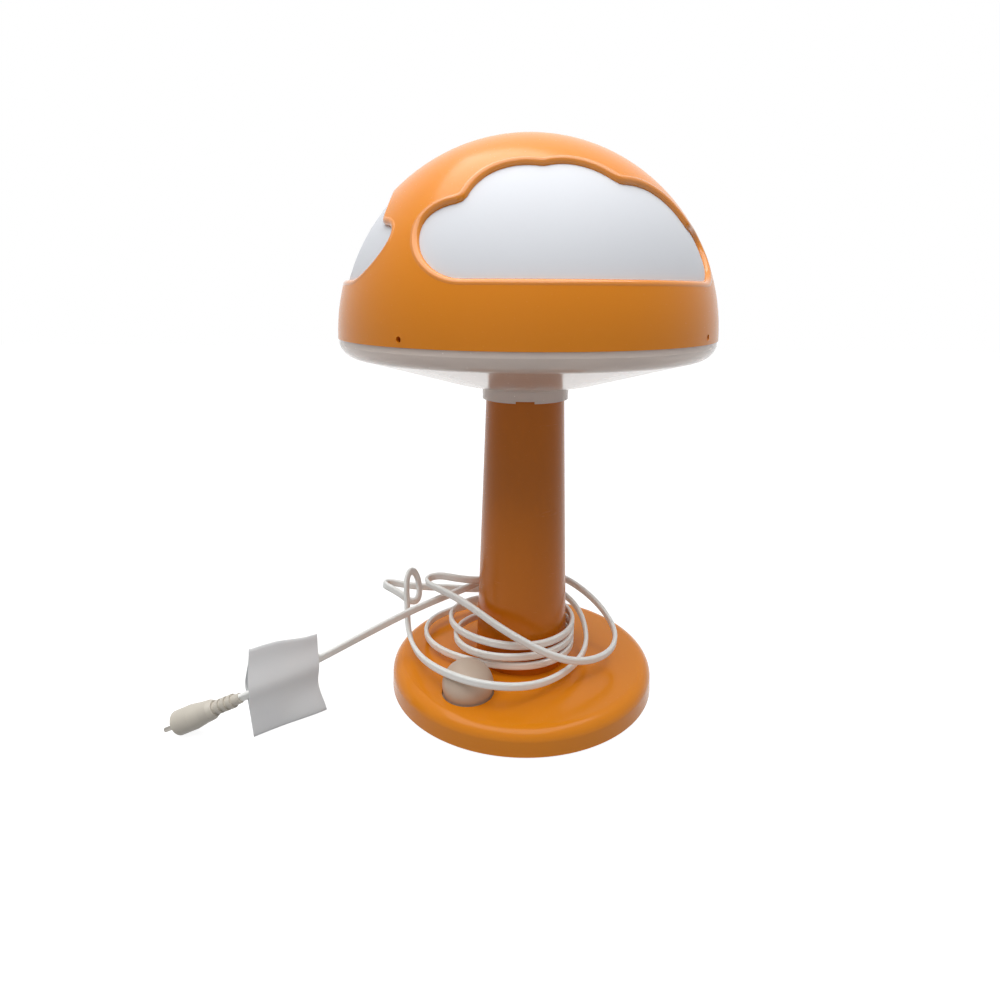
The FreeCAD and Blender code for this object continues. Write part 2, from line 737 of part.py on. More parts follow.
def make_tray():
    bore = f"{stem_radius_at(f'({COLLAR_TOP}) - collar_drop')} + collar_gap / 2"
    sleeve = f"{bore} + spigot_wall"
    body = revolved("shade_tray", [
        (TRAY_RADIUS, TRAY_RIM),
        (TRAY_RADIUS, TRAY_BAND_FOOT),
        (TRAY_CORNER_RADIUS, TRAY_CORNER),
        ("tray_cone_foot_radius", TRAY_CONE_FOOT),
        ("collar_radius + collar_shoulder", COLLAR_TOP),
        ("collar_radius", f"{COLLAR_TOP} - collar_rounding"),
        ("collar_radius", f"{COLLAR_TOP} - collar_drop"),
        (bore, f"{COLLAR_TOP} - collar_drop"),
        (bore, TRAY_SEAT),
        ("bulb_radius + bulb_room", TRAY_SEAT),
        ("bulb_radius + bulb_room", f"{TRAY_SEAT} + seat_thickness"),
        (sleeve, f"{TRAY_SEAT} + seat_thickness"),
        (sleeve, f"{COLLAR_TOP} + tray_wall"),
        ("tray_cone_foot_radius", f"{TRAY_CONE_FOOT} + tray_wall"),
        (f"{TRAY_CORNER_RADIUS} - tray_wall", f"{TRAY_CORNER} + tray_wall"),
        (f"{SPIGOT_RING} - spigot_wall", f"{TRAY_BAND_FOOT}"),
        (f"{SPIGOT_RING} - spigot_wall", SNAP_RING_TOP),
        (SPIGOT_RING, SNAP_RING_TOP),
        (SPIGOT_RING, TRAY_RIM),
    ], {1: ("tray_corner_bend", 1)})
    make_latch(body, bore)
    make_snap_nubs(body)
    return body


def make_latch(body, bore):
    """A tongue slit out of the sleeve round the stem, and the notch in the collar's lip below it."""
    slit_top = f"{TRAY_SEAT} - latch_top_drop"
    slit_foot = f"{COLLAR_TOP} + tray_wall + latch_foot_rise"
    half = "latch_width / 2"
    slit = outline(new_sketch(body, "latch_slit_sketch"), [
        (f"-{half} - latch_slit", slit_top),
        (f"-{half} - latch_slit", slit_foot),
        (f"{half} + latch_slit", slit_foot),
        (f"{half} + latch_slit", slit_top),
        (half, slit_top),
        (half, f"{slit_foot} + latch_slit"),
        (f"-{half}", f"{slit_foot} + latch_slit"),
        (f"-{half}", slit_top),
    ])
    feature(body, "Pocket", "latch_slit", slit, "collar_radius + cut_past", True)
    notch = outline(new_sketch(body, "collar_notch_sketch"), [
        ("-collar_notch_width / 2", f"{COLLAR_TOP} - collar_drop - cut_past"),
        ("collar_notch_width / 2", f"{COLLAR_TOP} - collar_drop - cut_past"),
        ("collar_notch_width / 2", f"{COLLAR_TOP} - collar_drop + collar_notch_height"),
        ("-collar_notch_width / 2", f"{COLLAR_TOP} - collar_drop + collar_notch_height"),
    ])
    feature(body, "Pocket", "collar_notch", notch, "collar_radius + cut_past", True)


def make_snap_nubs(body):
    """The rounded nub that clicks into each of the dome's four holes."""
    nub = circles(
        new_sketch(body, "snap_nub_sketch", "XZ_Plane", "0", "snap_azimuth"),
        "snap_radius - fixed_gap", [("0", "snap_height")],
    )
    root = f"{SPIGOT_RING} - spigot_wall / 2"
    nub.setExpression("AttachmentOffset.Base.x", on_sheet(f"({root}) * sin(snap_azimuth)"))
    nub.setExpression("AttachmentOffset.Base.z", on_sheet(f"({root}) * cos(snap_azimuth)"))
    pad = feature(body, "Pad", "snap_nub", nub, "spigot_wall / 2 + snap_nub_rise")
    polar(body, "snap_nubs", [pad], 4)


def make_dome():
    centre = "dome_centre_height"
    inner = "dome_radius - dome_wall"
    body = revolved("shade_dome", [
        (f"sqrt(dome_radius^2 - (rim_height - {centre})^2)", "rim_height"),
        ("0", f"{centre} + dome_radius"),
        ("0", f"{centre} + {inner}"),
        (f"sqrt(({inner})^2 - (rim_height - {centre})^2)", "rim_height"),
    ], {0: ("dome_radius", -1), 2: (inner, 1)}, DOME_SEAM)
    window = outline(new_sketch(body, "window_sketch", "XZ_Plane", "0", "window_azimuth"), *cloud())
    pocket = feature(body, "Pocket", "cloud_window", window, "dome_radius + cut_past", True)
    polar(body, "cloud_windows", [pocket], 3)
    hole = circles(new_sketch(body, "snap_hole_sketch", "XZ_Plane", "0", "snap_azimuth"),
                   "snap_radius", [("0", "snap_height")])
    drilled = feature(body, "Pocket", "snap_hole", hole, "dome_radius + cut_past", True)
    polar(body, "snap_holes", [drilled], 4)
    rounded(body, "window_lips", window_rims(body), "window_lip")
    return body


def cloud():
    """The window's outline, seen square on: lobes from the right end over the top, with rounded cusps."""
    first, last = CLOUD_LOBES[0], CLOUD_LOBES[-1]
    places = [(last[0], 0), (first[0], 0), (first[0] + first[2], first[1])]
    arcs = {1: (first[2], -1), 2: (first[2], -1)}
    for lobe, after in zip(CLOUD_LOBES[:-1], CLOUD_LOBES[1:-1]):
        places += cusp(lobe, after)
        arcs[len(places) - 2] = ("window_corner", 1)
        arcs[len(places) - 1] = (after[2], -1)
    places.append((last[0] - last[2], last[1]))
    arcs[len(places) - 1] = (last[2], -1)
    return [(f"{across:.6f}", f"window_sill + {up:.6f}") for across, up in places], arcs


def cusp(lobe, after):
    """Where the rounding between two lobes leaves the first and meets the second."""
    (x1, z1, r1), (x2, z2, r2) = lobe, after
    rounding = number("window_corner")
    to_first, to_second = r1 + rounding, r2 + rounding
    apart = math.hypot(x2 - x1, z2 - z1)
    across, up = (x2 - x1) / apart, (z2 - z1) / apart
    along = (to_first**2 - to_second**2 + apart**2) / (2 * apart)
    aside = math.sqrt(to_first**2 - along**2)
    centre_x = x1 + along * across + aside * up
    centre_z = z1 + along * up - aside * across
    return [
        (x1 + (centre_x - x1) * r1 / to_first, z1 + (centre_z - z1) * r1 / to_first),
        (x2 + (centre_x - x2) * r2 / to_second, z2 + (centre_z - z2) * r2 / to_second),
    ]


def window_rims(body):
    """The numbered edges where the windows' walls meet the dome's outside."""
    outer = number("dome_radius")
    centre = FreeCAD.Vector(0, 0, number("dome_centre_height"))
    lowest = number("window_sill - sliding_gap")
    names = []
    for index, edge in enumerate(body.Shape.Edges, start=1):
        middle = edge.valueAt((edge.FirstParameter + edge.LastParameter) / 2)
        on_outside = abs(outer - middle.distanceToPoint(centre)) < 0.01 and middle.z > lowest
        if on_outside and len(body.Shape.ancestorsOfType(edge, Part.Face)) == 2:
            names.append(f"Edge{index}")
    return names


def rounded(body, name, edges, radius):
    base = body.Tip
    fillet = body.newObject("PartDesign::Fillet", name)
    fillet.Base = (base, edges)
    fillet.setExpression("Radius", on_sheet(radius))
    body.Tip = fillet
    doc.recompute()


def make_diffuser():
    centre = "dome_centre_height"
    outer = "dome_radius - dome_wall - sliding_gap"
    inner = f"{outer} - diffuser_wall"
    foot = f"{SNAP_RING_TOP} + fixed_gap"
    revolved("shade_diffuser", [
        (f"sqrt(({outer})^2 - ({foot} - {centre})^2)", foot),
        ("0", f"{centre} + {outer}"),
        ("0", f"{centre} + {inner}"),
        (f"sqrt(({inner})^2 - ({foot} - {centre})^2)", foot),
    ], {0: (outer, -1), 2: (inner, 1)})


# ---------------------------------------------------------------- inside the base

def make_gland():
    """The rubber grommet in the base's rear wall, with a short tapered nose round the cord."""
    bore = "cord_width / 2 + fixed_gap / 3"
    wall_outer = "base_radius - base_draft"
    neck = "gland_radius - gland_lip - fixed_gap"
    inner_flange = f"{wall_outer} - base_wall - 2 * gland_flange"
    outer_flange = f"{wall_outer} + base_draft + fixed_gap"
    body = new_body("cord_gland")
    sketch = outline(new_sketch(body, "cord_gland_profile"), [
        (bore, inner_flange),
        ("gland_radius", inner_flange),
        ("gland_radius", f"{inner_flange} + gland_flange"),
        (neck, f"{inner_flange} + gland_flange"),
        (neck, outer_flange),
        ("gland_radius", outer_flange),
        ("gland_radius", f"{outer_flange} + gland_flange"),
        (f"{bore} + gland_tip_wall", f"{wall_outer} + gland_length"),
        (bore, f"{wall_outer} + gland_length"),
    ])
    feature(body, "Revolution", "cord_gland_turn", sketch)
    body.Placement.Rotation = FreeCAD.Rotation(FreeCAD.Vector(1, 0, 0), -90)
    body.setExpression("Placement.Base.z", on_sheet("gland_height"))
    return body


def make_terminal_and_clamp():
    case = block("terminal_case", "terminal_length", "terminal_width", "terminal_height",
                 "0", "terminal_y", COVER_TOP)
    well_floor = f"{COVER_TOP} + terminal_height - terminal_well_depth"
    wells = joined("terminal_wells", [
        cylinder(f"terminal_well_{side}", "terminal_well_radius", "terminal_well_depth",
                 f"({side}) * terminal_length / 4", "terminal_y", well_floor)
        for side in (-1, 1)
    ])
    keep(cut("terminal_cut", case, wells), "terminal_block")
    group("terminal_screws", [
        cylinder(f"terminal_screw_{side}", "terminal_screw_radius", "terminal_screw_height",
                 f"({side}) * terminal_length / 4", "terminal_y", well_floor)
        for side in (-1, 1)
    ])
    seat = f"gland_height + cord_width / 2"
    bar = block("clamp_bar", "clamp_length", "clamp_width", "clamp_thickness", "0", "clamp_y", seat)
    keep(bar, "cord_clamp")
    group("clamp_screws", [
        cylinder(f"clamp_screw_{side}", "clamp_screw_radius", "small_head_height",
                 f"({side}) * (clamp_length / 2 - clamp_post_inset)", "clamp_y", f"{seat} + clamp_thickness")
        for side in (-1, 1)
    ])


WIRE_RADIUS = 1.0
LAMP_WIRE_RISE = ((5.5, 9.5, 5), (5, 8, 18), (3, 3, 60))
LAMP_WIRE_END = ((2, 0, -40), (2, 0, 0))
SWITCH_WIRE_ASIDE = 4.0
SWITCH_WIRE_SPREAD = 2.5
SWITCH_WIRE_RUN = 8.0
SWITCH_WIRE_MIDDLE = (-6, -12, 2)
TERMINAL_WIRE_SPREAD = 3.0
SWITCH_WIRE_HEIGHT = f"{COVER_TOP} + 3"


def make_wires():
    """The pair of leads up the stem to the lampholder, and the pair to the switch."""
    terminal_top = number(f"{COVER_TOP} + terminal_height")
    holder = number(HOLDER_SEAT)
    rising = []
    for side in (-1, 1):
        foot = FreeCAD.Vector(side * LAMP_WIRE_RISE[0][0], LAMP_WIRE_RISE[0][1], terminal_top)
        rise = [FreeCAD.Vector(side * x, y, terminal_top + z) for x, y, z in LAMP_WIRE_RISE]
        end = [FreeCAD.Vector(side * x, y, holder + z) for x, y, z in LAMP_WIRE_END]
        rising.append(tube([foot, *rise, *end], WIRE_RADIUS))
    code_shape("lamp_wires", Part.makeCompound(rising))
    switch_side = number(f"{BUTTON_Y} + switch_width / 2")
    switch_x = number(BUTTON_X) + SWITCH_WIRE_ASIDE
    terminal_side = number("terminal_y - terminal_width / 2")
    height = number(SWITCH_WIRE_HEIGHT)
    middle_x, middle_y, middle_rise = SWITCH_WIRE_MIDDLE
    short = []
    for side in (-1, 1):
        spread = side * SWITCH_WIRE_SPREAD
        short.append(tube([
            FreeCAD.Vector(switch_x + spread, switch_side, height),
            FreeCAD.Vector(switch_x + spread, switch_side + SWITCH_WIRE_RUN, height),
            FreeCAD.Vector(middle_x + spread, middle_y, height + middle_rise),
            FreeCAD.Vector(side * TERMINAL_WIRE_SPREAD, terminal_side - SWITCH_WIRE_RUN, height),
            FreeCAD.Vector(side * TERMINAL_WIRE_SPREAD, terminal_side, height),
        ], WIRE_RADIUS))
    code_shape("switch_wires", Part.makeCompound(short))


# ---------------------------------------------------------------- cord

def code_shape(node, shape):
    made = doc.addObject("Part::Feature", node + "_shape")
    made.Shape = shape
    return keep(made, node)


def rounded_route(points):
    """Straight runs between the points, joined by arcs as large as their two runs allow."""
    edges, radii = [], []
    here = points[0]
    for before, corner, after in zip(points, points[1:], points[2:]):
        back, on = before - corner, after - corner
        reach = FREE_ROUTE_SHARE * min(back.Length, on.Length)
        turn = math.pi - back.getAngle(on)
        radius = reach / math.tan(turn / 2)
        radii.append(radius)
        start = corner + FreeCAD.Vector(back).normalize() * reach
        end = corner + FreeCAD.Vector(on).normalize() * reach
        chord_middle = (start + end) * 0.5
        inward = chord_middle - corner
        sagitta = radius * (1 - math.cos(turn / 2))
        middle = chord_middle - FreeCAD.Vector(inward).normalize() * sagitta
        edges.append(Part.LineSegment(here, start).toShape())
        edges.append(Part.Arc(start, middle, end).toShape())
        here = end
    edges.append(Part.LineSegment(here, points[-1]).toShape())
    return Part.Wire(edges), radii


def swept(wire, radius):
    """A round tube along a wire, with its volume held against section times length."""
    first = wire.OrderedEdges[0]
    start = wire.OrderedVertexes[0].Point
    along = first.tangentAt(first.FirstParameter)
    section = Part.Wire(Part.makeCircle(radius, start, along))
    shell = wire.makePipeShell([section], True, False)
    expected = math.pi * radius**2 * wire.Length
    if abs(shell.Volume / expected - 1) > 0.01:
        raise RuntimeError(f"tube volume {shell.Volume:.0f} is not {expected:.0f}")
    return shell


def tube(points, radius):
    wire, _ = rounded_route(points)
    return swept(wire, radius)


def winding_point(turns):
    """The cord's centre after so many turns: a steady climb, with a lobe to the lamp's left on each turn."""
    lobe, lobe_azimuth = WINDING_LOBES[min(int(turns + 0.2), WINDINGS - 1)]
    lean = (0.5 + 0.5 * math.cos(math.radians(360 * turns - lobe_azimuth))) ** 4.5
    radius = number("winding_radius") + lobe * lean
    height = number("winding_first_height") + number("winding_climb") * turns
    angle = math.radians(360 * turns)
    return FreeCAD.Vector(-radius * math.sin(angle), radius * math.cos(angle), height)


def winding_heading(turns):
    step = 1e-4
    return (winding_point(turns + step) - winding_point(turns - step)).normalize()


def biarc(start, start_heading, end, end_heading):
    """Two arcs, tangent to each other and to the headings given at both ends."""
    across = end - start
    both = start_heading + end_heading
    square = 2 * (1 - start_heading.dot(end_heading))
    linear = across.dot(both)
    if square < 1e-9:
        reach = across.dot(across) / (4 * across.dot(end_heading))
    else:
        reach = (math.sqrt(linear**2 + square * across.dot(across)) - linear) / square
    first_corner = start + start_heading * reach
    last_corner = end - end_heading * reach
    joint = (first_corner + last_corner) * 0.5
    heading = (last_corner - first_corner).normalize()
    return [arc_from_tangent(start, start_heading, joint), arc_from_tangent(joint, heading, end)]


def arc_from_tangent(start, heading, end):
    """The arc that leaves start along heading and ends at end."""
    chord = end - start
    sideways = chord - heading * chord.dot(heading)
    if sideways.Length < 1e-6:
        return Part.LineSegment(start, end).toShape()
    radius = chord.dot(chord) / (2 * sideways.Length)
    inward = FreeCAD.Vector(sideways).normalize()
    centre = start + inward * radius
    outward = (start + end) * 0.5 - centre
    if outward.Length < 1e-9:
        outward = heading
    middle = centre + outward.normalize() * radius
    return Part.Arc(start, middle, end).toShape()


def winding_wire():
    """The turns round the stem as biarcs of a quarter turn, with a straight diameter at each end."""
    start_turn = WINDING_START / 360
    stops = [start_turn] + [q / 4 for q in range(math.ceil(start_turn * 4 + 0.01), WINDINGS * 4 + 1)]
    straight = number("cord_width")
    edges = []
    first, first_heading = winding_point(stops[0]), winding_heading(stops[0])
    edges.append(Part.LineSegment(first - first_heading * straight, first).toShape())
    for before, after in zip(stops, stops[1:]):
        edges += biarc(
            winding_point(before), winding_heading(before),
            winding_point(after), winding_heading(after),
        )
    last, last_heading = winding_point(stops[-1]), winding_heading(stops[-1])
    edges.append(Part.LineSegment(last, last + last_heading * straight).toShape())
    return Part.Wire(edges)


def least_gap(wire, width):
    """The least clear distance between turns, between points over five diameters apart along the wire."""
    points = wire.discretize(Distance=2.0)
    step = wire.Length / (len(points) - 1)
    apart = int(5 * width / step) + 1
    return min(
        points[i].distanceToPoint(points[j])
        for i in range(len(points)) for j in range(i + apart, len(points))
    ) - width


EXIT_ROUTE = [
    (0, 129, 9.2),
    (5.3, 142, 10.5),
    (18, 148, 13),
    (31, 142, 16),
    (36.5, 130, 18.5),
    (33, 116, 21),
    (21, 103.5, 23.5),
    (4, 93, 25.3),
    (-14, 81.5, 26),
    (-30, 73, 26.6),
]

LOOSE_ROUTE = [
    (-38, 38.5, 52.5),
    (-57, 38, 53.7),
    (-74, 38, 53.7),
    (-91, 39, 54.2),
    (-103, 41, 55.5),
    (-110.5, 37.5, 57.5),
    (-110, 30.5, 58.5),
    (-103, 26.5, 57),
    (-95, 23, 54),
    (-88, 19.5, 50),
    (-82.5, 21, 49.5),
    (-81, 26.5, 54),
    (-82, 30, 62),
    (-84, 29, 70),
    (-86.5, 23.5, 75),
    (-88.5, 17.5, 73),
    (-89, 14, 65),
    (-88.5, 12, 54),
    (-88, 8, 43),
    (-86, 0, 35),
    (-81, -14, 31.5),
    (-71, -35, 33),
    (-54, -61, 39.5),
    (-32, -77, 42),
    (-8, -76, 38),
    (14, -63, 32.5),
    (33, -42, 30),
    (46, -19, 30.5),
    (50, 2, 34),
    (46, 24, 43.5),
    (33, 38, 51.5),
    (15, 43.5, 57.5),
    (-3, 41, 61.5),
    (-20, 33, 65),
    (-35, 22, 68),
    (-49, 19, 70.5),
    (-62, 21, 72),
    (-70, 20, 71.5),
    (-74, 14.5, 70.5),
    (-69.5, 8.5, 69.5),
    (-60, 3, 68),
    (-48, -6, 66.5),
    (-34, -20, 65),
    (-19, -38, 63.5),
    (-4, -48, 59),
    (14, -51.5, 50.5),
    (33, -49, 42),
    (50, -40, 37.5),
    (64, -26, 36.5),
    (70.5, -8, 38),
    (68.5, 9, 42),
    (60, 23, 49.5),
    (48, 32, 57.5),
    (34, 41, 63),
    (16, 50, 66),
    (-3, 52, 66),
    (-22, 43, 64),
    (-39, 29, 60.5),
    (-55, 20, 57),
    (-72, 10, 53.5),
    (-90, -4, 50),
    (-107, -20.5, 47),
    (-123, -36.5, 44),
    (-138.3, -51.6, 41),
    (-154, -65.6, 38.6),
    (-167, -77.6, 36.4),
]

PLUG_START = FreeCAD.Vector(-181, -83.9, 30.4)
PLUG_HEADING = FreeCAD.Vector(-45.7, 2, -22.4)


def vectors(route):
    return [FreeCAD.Vector(*point) for point in route]


def make_cord():
    radius = number("cord_width") / 2
    gland_end = number("base_radius - base_draft + gland_length")
    height = number("gland_height")
    inner_end = number("terminal_y + terminal_width / 2")
    gland_mouth = FreeCAD.Vector(0, gland_end, height)
    inlet = Part.makeCylinder(radius, gland_end - inner_end, FreeCAD.Vector(0, inner_end, height),
                              FreeCAD.Vector(0, 1, 0))
    code_shape("cord_inlet", inlet)
    winding = winding_wire()
    ends = winding.OrderedVertexes
    code_shape("cord_winding", swept(winding, radius))
    print(f"cord winding: least gap {least_gap(winding, 2 * radius):.2f} mm, length {winding.Length:.0f} mm")
    straight = 2 * number("cord_width")
    winding_start, winding_end = ends[0].Point, ends[-1].Point
    before_winding = winding_start - winding_heading(WINDING_START / 360) * straight
    after_winding = winding_end + winding_heading(WINDINGS) * straight
    before_plug = PLUG_START - FreeCAD.Vector(PLUG_HEADING).normalize() * (0.75 * straight)
    exit_points = [gland_mouth] + vectors(EXIT_ROUTE) + [before_winding, winding_start]
    exit_wire, exit_radii = rounded_route(exit_points)
    loose_points = [winding_end, after_winding] + vectors(LOOSE_ROUTE) + [before_plug, PLUG_START]
    loose_wire, loose_radii = rounded_route(loose_points)
    code_shape("cord_exit", swept(exit_wire, radius))
    code_shape("cord_lead", swept(loose_wire, radius))
    for name, wire, radii in (("exit", exit_wire, exit_radii), ("lead", loose_wire, loose_radii)):
        shown = ", ".join(f"{r:.0f}" for r in radii)
        print(f"cord {name}: length {wire.Length:.0f} mm, radii {shown}")


# ---------------------------------------------------------------- what is on the cord

PLUG_PROFILE = ((0.62, 0), (0.8, 0.1), (0.86, 0.3), (1, 0.55))
RELIEF_RIBS = ((0.28, 0.42), (0.52, 0.66), (0.76, 0.9))
TAG_PLACE = FreeCAD.Vector(-175.6, -84.9, 0.1)
TAG_TURN = 41.8


def plug_placement(along):
    """A placement whose Z runs down the plug, so far from its cord end."""
    heading = FreeCAD.Vector(PLUG_HEADING).normalize()
    return FreeCAD.Placement(
        PLUG_START + heading * along,
        FreeCAD.Rotation(FreeCAD.Vector(0, 0, 1), heading),
    )


def make_plug():
    barrel = revolved("plug_body", [
        ("0", "0"),
        *((f"plug_radius * {out}", f"plug_length * {along}") for out, along in PLUG_PROFILE),
        ("plug_radius", "plug_length - plug_chamfer"),
        ("plug_radius - plug_chamfer", "plug_length"),
        ("0", "plug_length"),
    ])
    relief_length = number("relief_length")
    barrel.Placement = plug_placement(relief_length)
    ribs = []
    for low, high in RELIEF_RIBS:
        low_end, high_end = f"relief_length * {low}", f"relief_length * {high}"
        ribs += [("relief_waist", low_end), ("relief_rib", low_end),
                 ("relief_rib", high_end), ("relief_waist", high_end)]
    relief = revolved("plug_relief", [
        ("0", "0"), ("relief_tip", "0"), *ribs,
        ("relief_root", "relief_length"), ("0", "relief_length"),
    ])
    relief.Placement = plug_placement(0)
    pins = []
    for side in (-1, 1):
        pin = cylinder(f"plug_pin_{side}", "pin_radius", "pin_length")
        start = plug_placement(relief_length + number("plug_length"))
        sideways = start.Rotation.multVec(FreeCAD.Vector(0, 1, 0)) * (side * number("pin_spacing") / 2)
        pin.Placement = FreeCAD.Placement(start.Base + sideways, start.Rotation)
        pins.append(pin)
    group("plug_pins", pins)


def make_tag():
    """The folded card tag that stands on its lower edge round the cord, left bare."""
    width, tall = number("tag_width"), number("tag_height")
    half_gap = number("cord_width / 2 + tag_room")
    paper, seam = number("tag_paper"), number("tag_seam")
    slant, far_slant = number("tag_slant"), number("tag_far_slant")
    thick = number("base_height")

    def loop(inset):
        half = half_gap + paper - inset
        foot, top = inset, tall - inset
        corners = [(-paper + inset / 2, foot), (-half, seam), (-half, tall - seam), (0, top),
                   (half, tall - seam), (half, seam), (paper - inset / 2, foot)]
        places = [FreeCAD.Vector(0, a, b) for a, b in corners]
        return Part.Face(Part.makePolygon(places + places[:1]))

    sleeve = loop(0).cut(loop(paper)).extrude(FreeCAD.Vector(width, 0, 0))
    corners = [(0, 0), (width, 0), (width - far_slant, tall - slant), (slant, tall)]
    places = [FreeCAD.Vector(a, -thick, b) for a, b in corners]
    trim = Part.Face(Part.makePolygon(places + places[:1]))
    tag = sleeve.common(trim.extrude(FreeCAD.Vector(0, 2 * thick, 0)))
    made = code_shape("cord_tag", tag)
    made.Placement = FreeCAD.Placement(TAG_PLACE, FreeCAD.Rotation(FreeCAD.Vector(0, 0, 1), TAG_TURN))


# ---------------------------------------------------------------- build and write

def check_everything():
    doc.recompute()
    for made in doc.Objects:
        if "Invalid" in made.State or "Error" in made.State:
            raise RuntimeError(f"{made.Name} is {made.State}")
    for piece in parts:
        if piece.Shape.isNull() or not piece.Shape.isValid():
            raise RuntimeError(f"{piece.Label} has no valid shape")


def main():
    make_base_shell()
    make_bottom_cover()
    make_feet()
    make_weight()
    make_base_screws()
    make_button()
    make_switch()
    make_stem()
    make_lampholder()
    make_bulb()
    make_tray()
    make_dome()
    make_diffuser()
    make_gland()
    make_terminal_and_clamp()
    make_wires()
    make_cord()
    make_plug()
    make_tag()
    check_everything()
    os.makedirs("parts", exist_ok=True)
    for piece in parts:
        piece.Shape.exportStep(f"parts/{piece.Label}.step")
        box = piece.Shape.BoundBox
        print(f"{piece.Label}: {len(piece.Shape.Solids)} solids, {piece.Shape.Volume:.0f} mm3,"
              f" z {box.ZMin:.2f} to {box.ZMax:.2f}")


main()
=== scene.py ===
"""Mushroom table lamp, dressed for its picture: the flat cord wound round the stem, its tag and plug,
the finishes of the plastic pieces, and a pale studio with the camera at the photograph's angle."""

import math

import bpy
from mathutils import Matrix, Vector


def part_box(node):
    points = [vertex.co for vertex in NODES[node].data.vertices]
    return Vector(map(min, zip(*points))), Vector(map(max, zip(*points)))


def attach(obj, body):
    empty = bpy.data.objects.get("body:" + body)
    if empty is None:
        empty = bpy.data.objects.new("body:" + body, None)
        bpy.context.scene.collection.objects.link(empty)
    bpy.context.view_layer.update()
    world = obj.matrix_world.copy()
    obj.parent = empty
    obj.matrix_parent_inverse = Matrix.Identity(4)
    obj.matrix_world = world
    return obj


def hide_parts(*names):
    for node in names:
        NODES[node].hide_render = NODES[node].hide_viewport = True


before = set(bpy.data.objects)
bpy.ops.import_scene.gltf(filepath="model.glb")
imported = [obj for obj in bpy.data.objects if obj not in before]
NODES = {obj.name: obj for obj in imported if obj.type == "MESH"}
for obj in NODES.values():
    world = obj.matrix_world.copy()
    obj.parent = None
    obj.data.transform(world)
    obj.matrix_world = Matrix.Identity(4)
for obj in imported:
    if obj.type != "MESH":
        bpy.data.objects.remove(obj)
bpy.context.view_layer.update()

bl_info = {
    "name": "Mushroom table lamp",
    "version": (1, 0, 0),
    "blender": (4, 5, 0),
    "location": "View3D > Sidebar > Lamp",
    "description": "Dresses the lamp's packed model: cord, tag, finishes, studio and camera",
    "category": "Object",
}

MM = 0.001

# ---------------------------------------------------------------- places taken from the frame

GLAND_LOW, GLAND_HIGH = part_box("cord_gland")
GLAND_MOUTH = Vector((0.0, GLAND_HIGH.y, (GLAND_LOW.z + GLAND_HIGH.z) / 2))

# ---------------------------------------------------------------- the camera, with its angles in radians

CAMERA_PLACE = Vector((0.0, -438.86, 282.16)) * MM
CAMERA_PITCH = 0.311
CAMERA_YAW = -0.038
CAMERA_ROLL = 0.005
FOCAL_PIXELS = 650
FRAME_PIXELS = 1000
SENSOR_WIDTH = 36.0

# ---------------------------------------------------------------- the cord's route, in millimetres

# From the grommet's mouth, in a loop behind the base, to the winding.
EXIT_ROUTE = [
    (0, 129, 9.2),
    (5.3, 142, 10.5),
    (18, 148, 13),
    (31, 142, 16),
    (36.5, 130, 18.5),
    (33, 116, 21),
    (21, 103.5, 23.5),
    (4, 93, 25.3),
    (-14, 81.5, 26),
    (-30, 73, 26.6),
]

WINDINGS = 3
WINDING_START = 50.0
# Each turn leans out on one side: by how much, and towards which angle in degrees.
WINDING_LOBES = ((42.0, 65.0), (12.0, 103.0), (19.0, 65.0))
# A turn's lean starts this much of a turn early, and falls off as this power of a raised cosine.
LOBE_LEAD = 0.2
LOBE_SHARPNESS = 4.5
WINDING_RADIUS = 38.2
WINDING_FIRST_HEIGHT = 26.5
WINDING_CLIMB = 8.0
WINDING_POINTS_PER_TURN = 24
STRAIGHT_AT_WINDING = 12
STRAIGHT_AT_PLUG = 9

# From the winding, through the loops that lie round the stem, to the plug.
LOOSE_ROUTE = [
    (-38, 38.5, 52.5),
    (-57, 38, 53.7),
    (-74, 38, 53.7),
    (-91, 39, 54.2),
    (-103, 41, 55.5),
    (-110.5, 37.5, 57.5),
    (-110, 30.5, 58.5),
    (-103, 26.5, 57),
    (-95, 23, 54),
    (-88, 19.5, 50),
    (-82.5, 21, 49.5),
    (-81, 26.5, 54),
    (-82, 30, 62),
    (-84, 29, 70),
    (-86.5, 23.5, 75),
    (-88.5, 17.5, 73),
    (-89, 14, 65),
    (-88.5, 12, 54),
    (-88, 8, 43),
    (-86, 0, 35),
    (-81, -14, 31.5),
    (-71, -35, 33),
    (-54, -61, 39.5),
    (-32, -77, 42),
    (-8, -76, 38),
    (14, -63, 32.5),
    (33, -42, 30),
    (46, -19, 30.5),
    (50, 2, 34),
    (46, 24, 43.5),
    (33, 38, 51.5),
    (15, 43.5, 57.5),
    (-3, 41, 61.5),
    (-20, 33, 65),
    (-35, 22, 68),
    (-49, 19, 70.5),
    (-62, 21, 72),
    (-70, 20, 71.5),
    (-74, 14.5, 70.5),
    (-69.5, 8.5, 69.5),
    (-60, 3, 68),
    (-48, -6, 66.5),
    (-34, -20, 65),
    (-19, -38, 63.5),
    (-4, -48, 59),
    (14, -51.5, 50.5),
    (33, -49, 42),
    (50, -40, 37.5),
    (64, -26, 36.5),
    (70.5, -8, 38),
    (68.5, 9, 42),
    (60, 23, 49.5),
    (48, 32, 57.5),
    (34, 41, 63),
    (16, 50, 66),
    (-3, 52, 66),
    (-22, 43, 64),
    (-39, 29, 60.5),
    (-55, 20, 57),
    (-72, 10, 53.5),
    (-90, -4, 50),
    (-107, -20.5, 47),
    (-123, -36.5, 44),
    (-138.3, -51.6, 41),
    (-154, -65.6, 38.6),
    (-167, -77.6, 36.4),
]

PLUG_START = Vector((-181, -83.9, 30.4))
PLUG_HEADING = Vector((-45.7, 2, -22.4)).normalized()


# ---------------------------------------------------------------- what a user would change

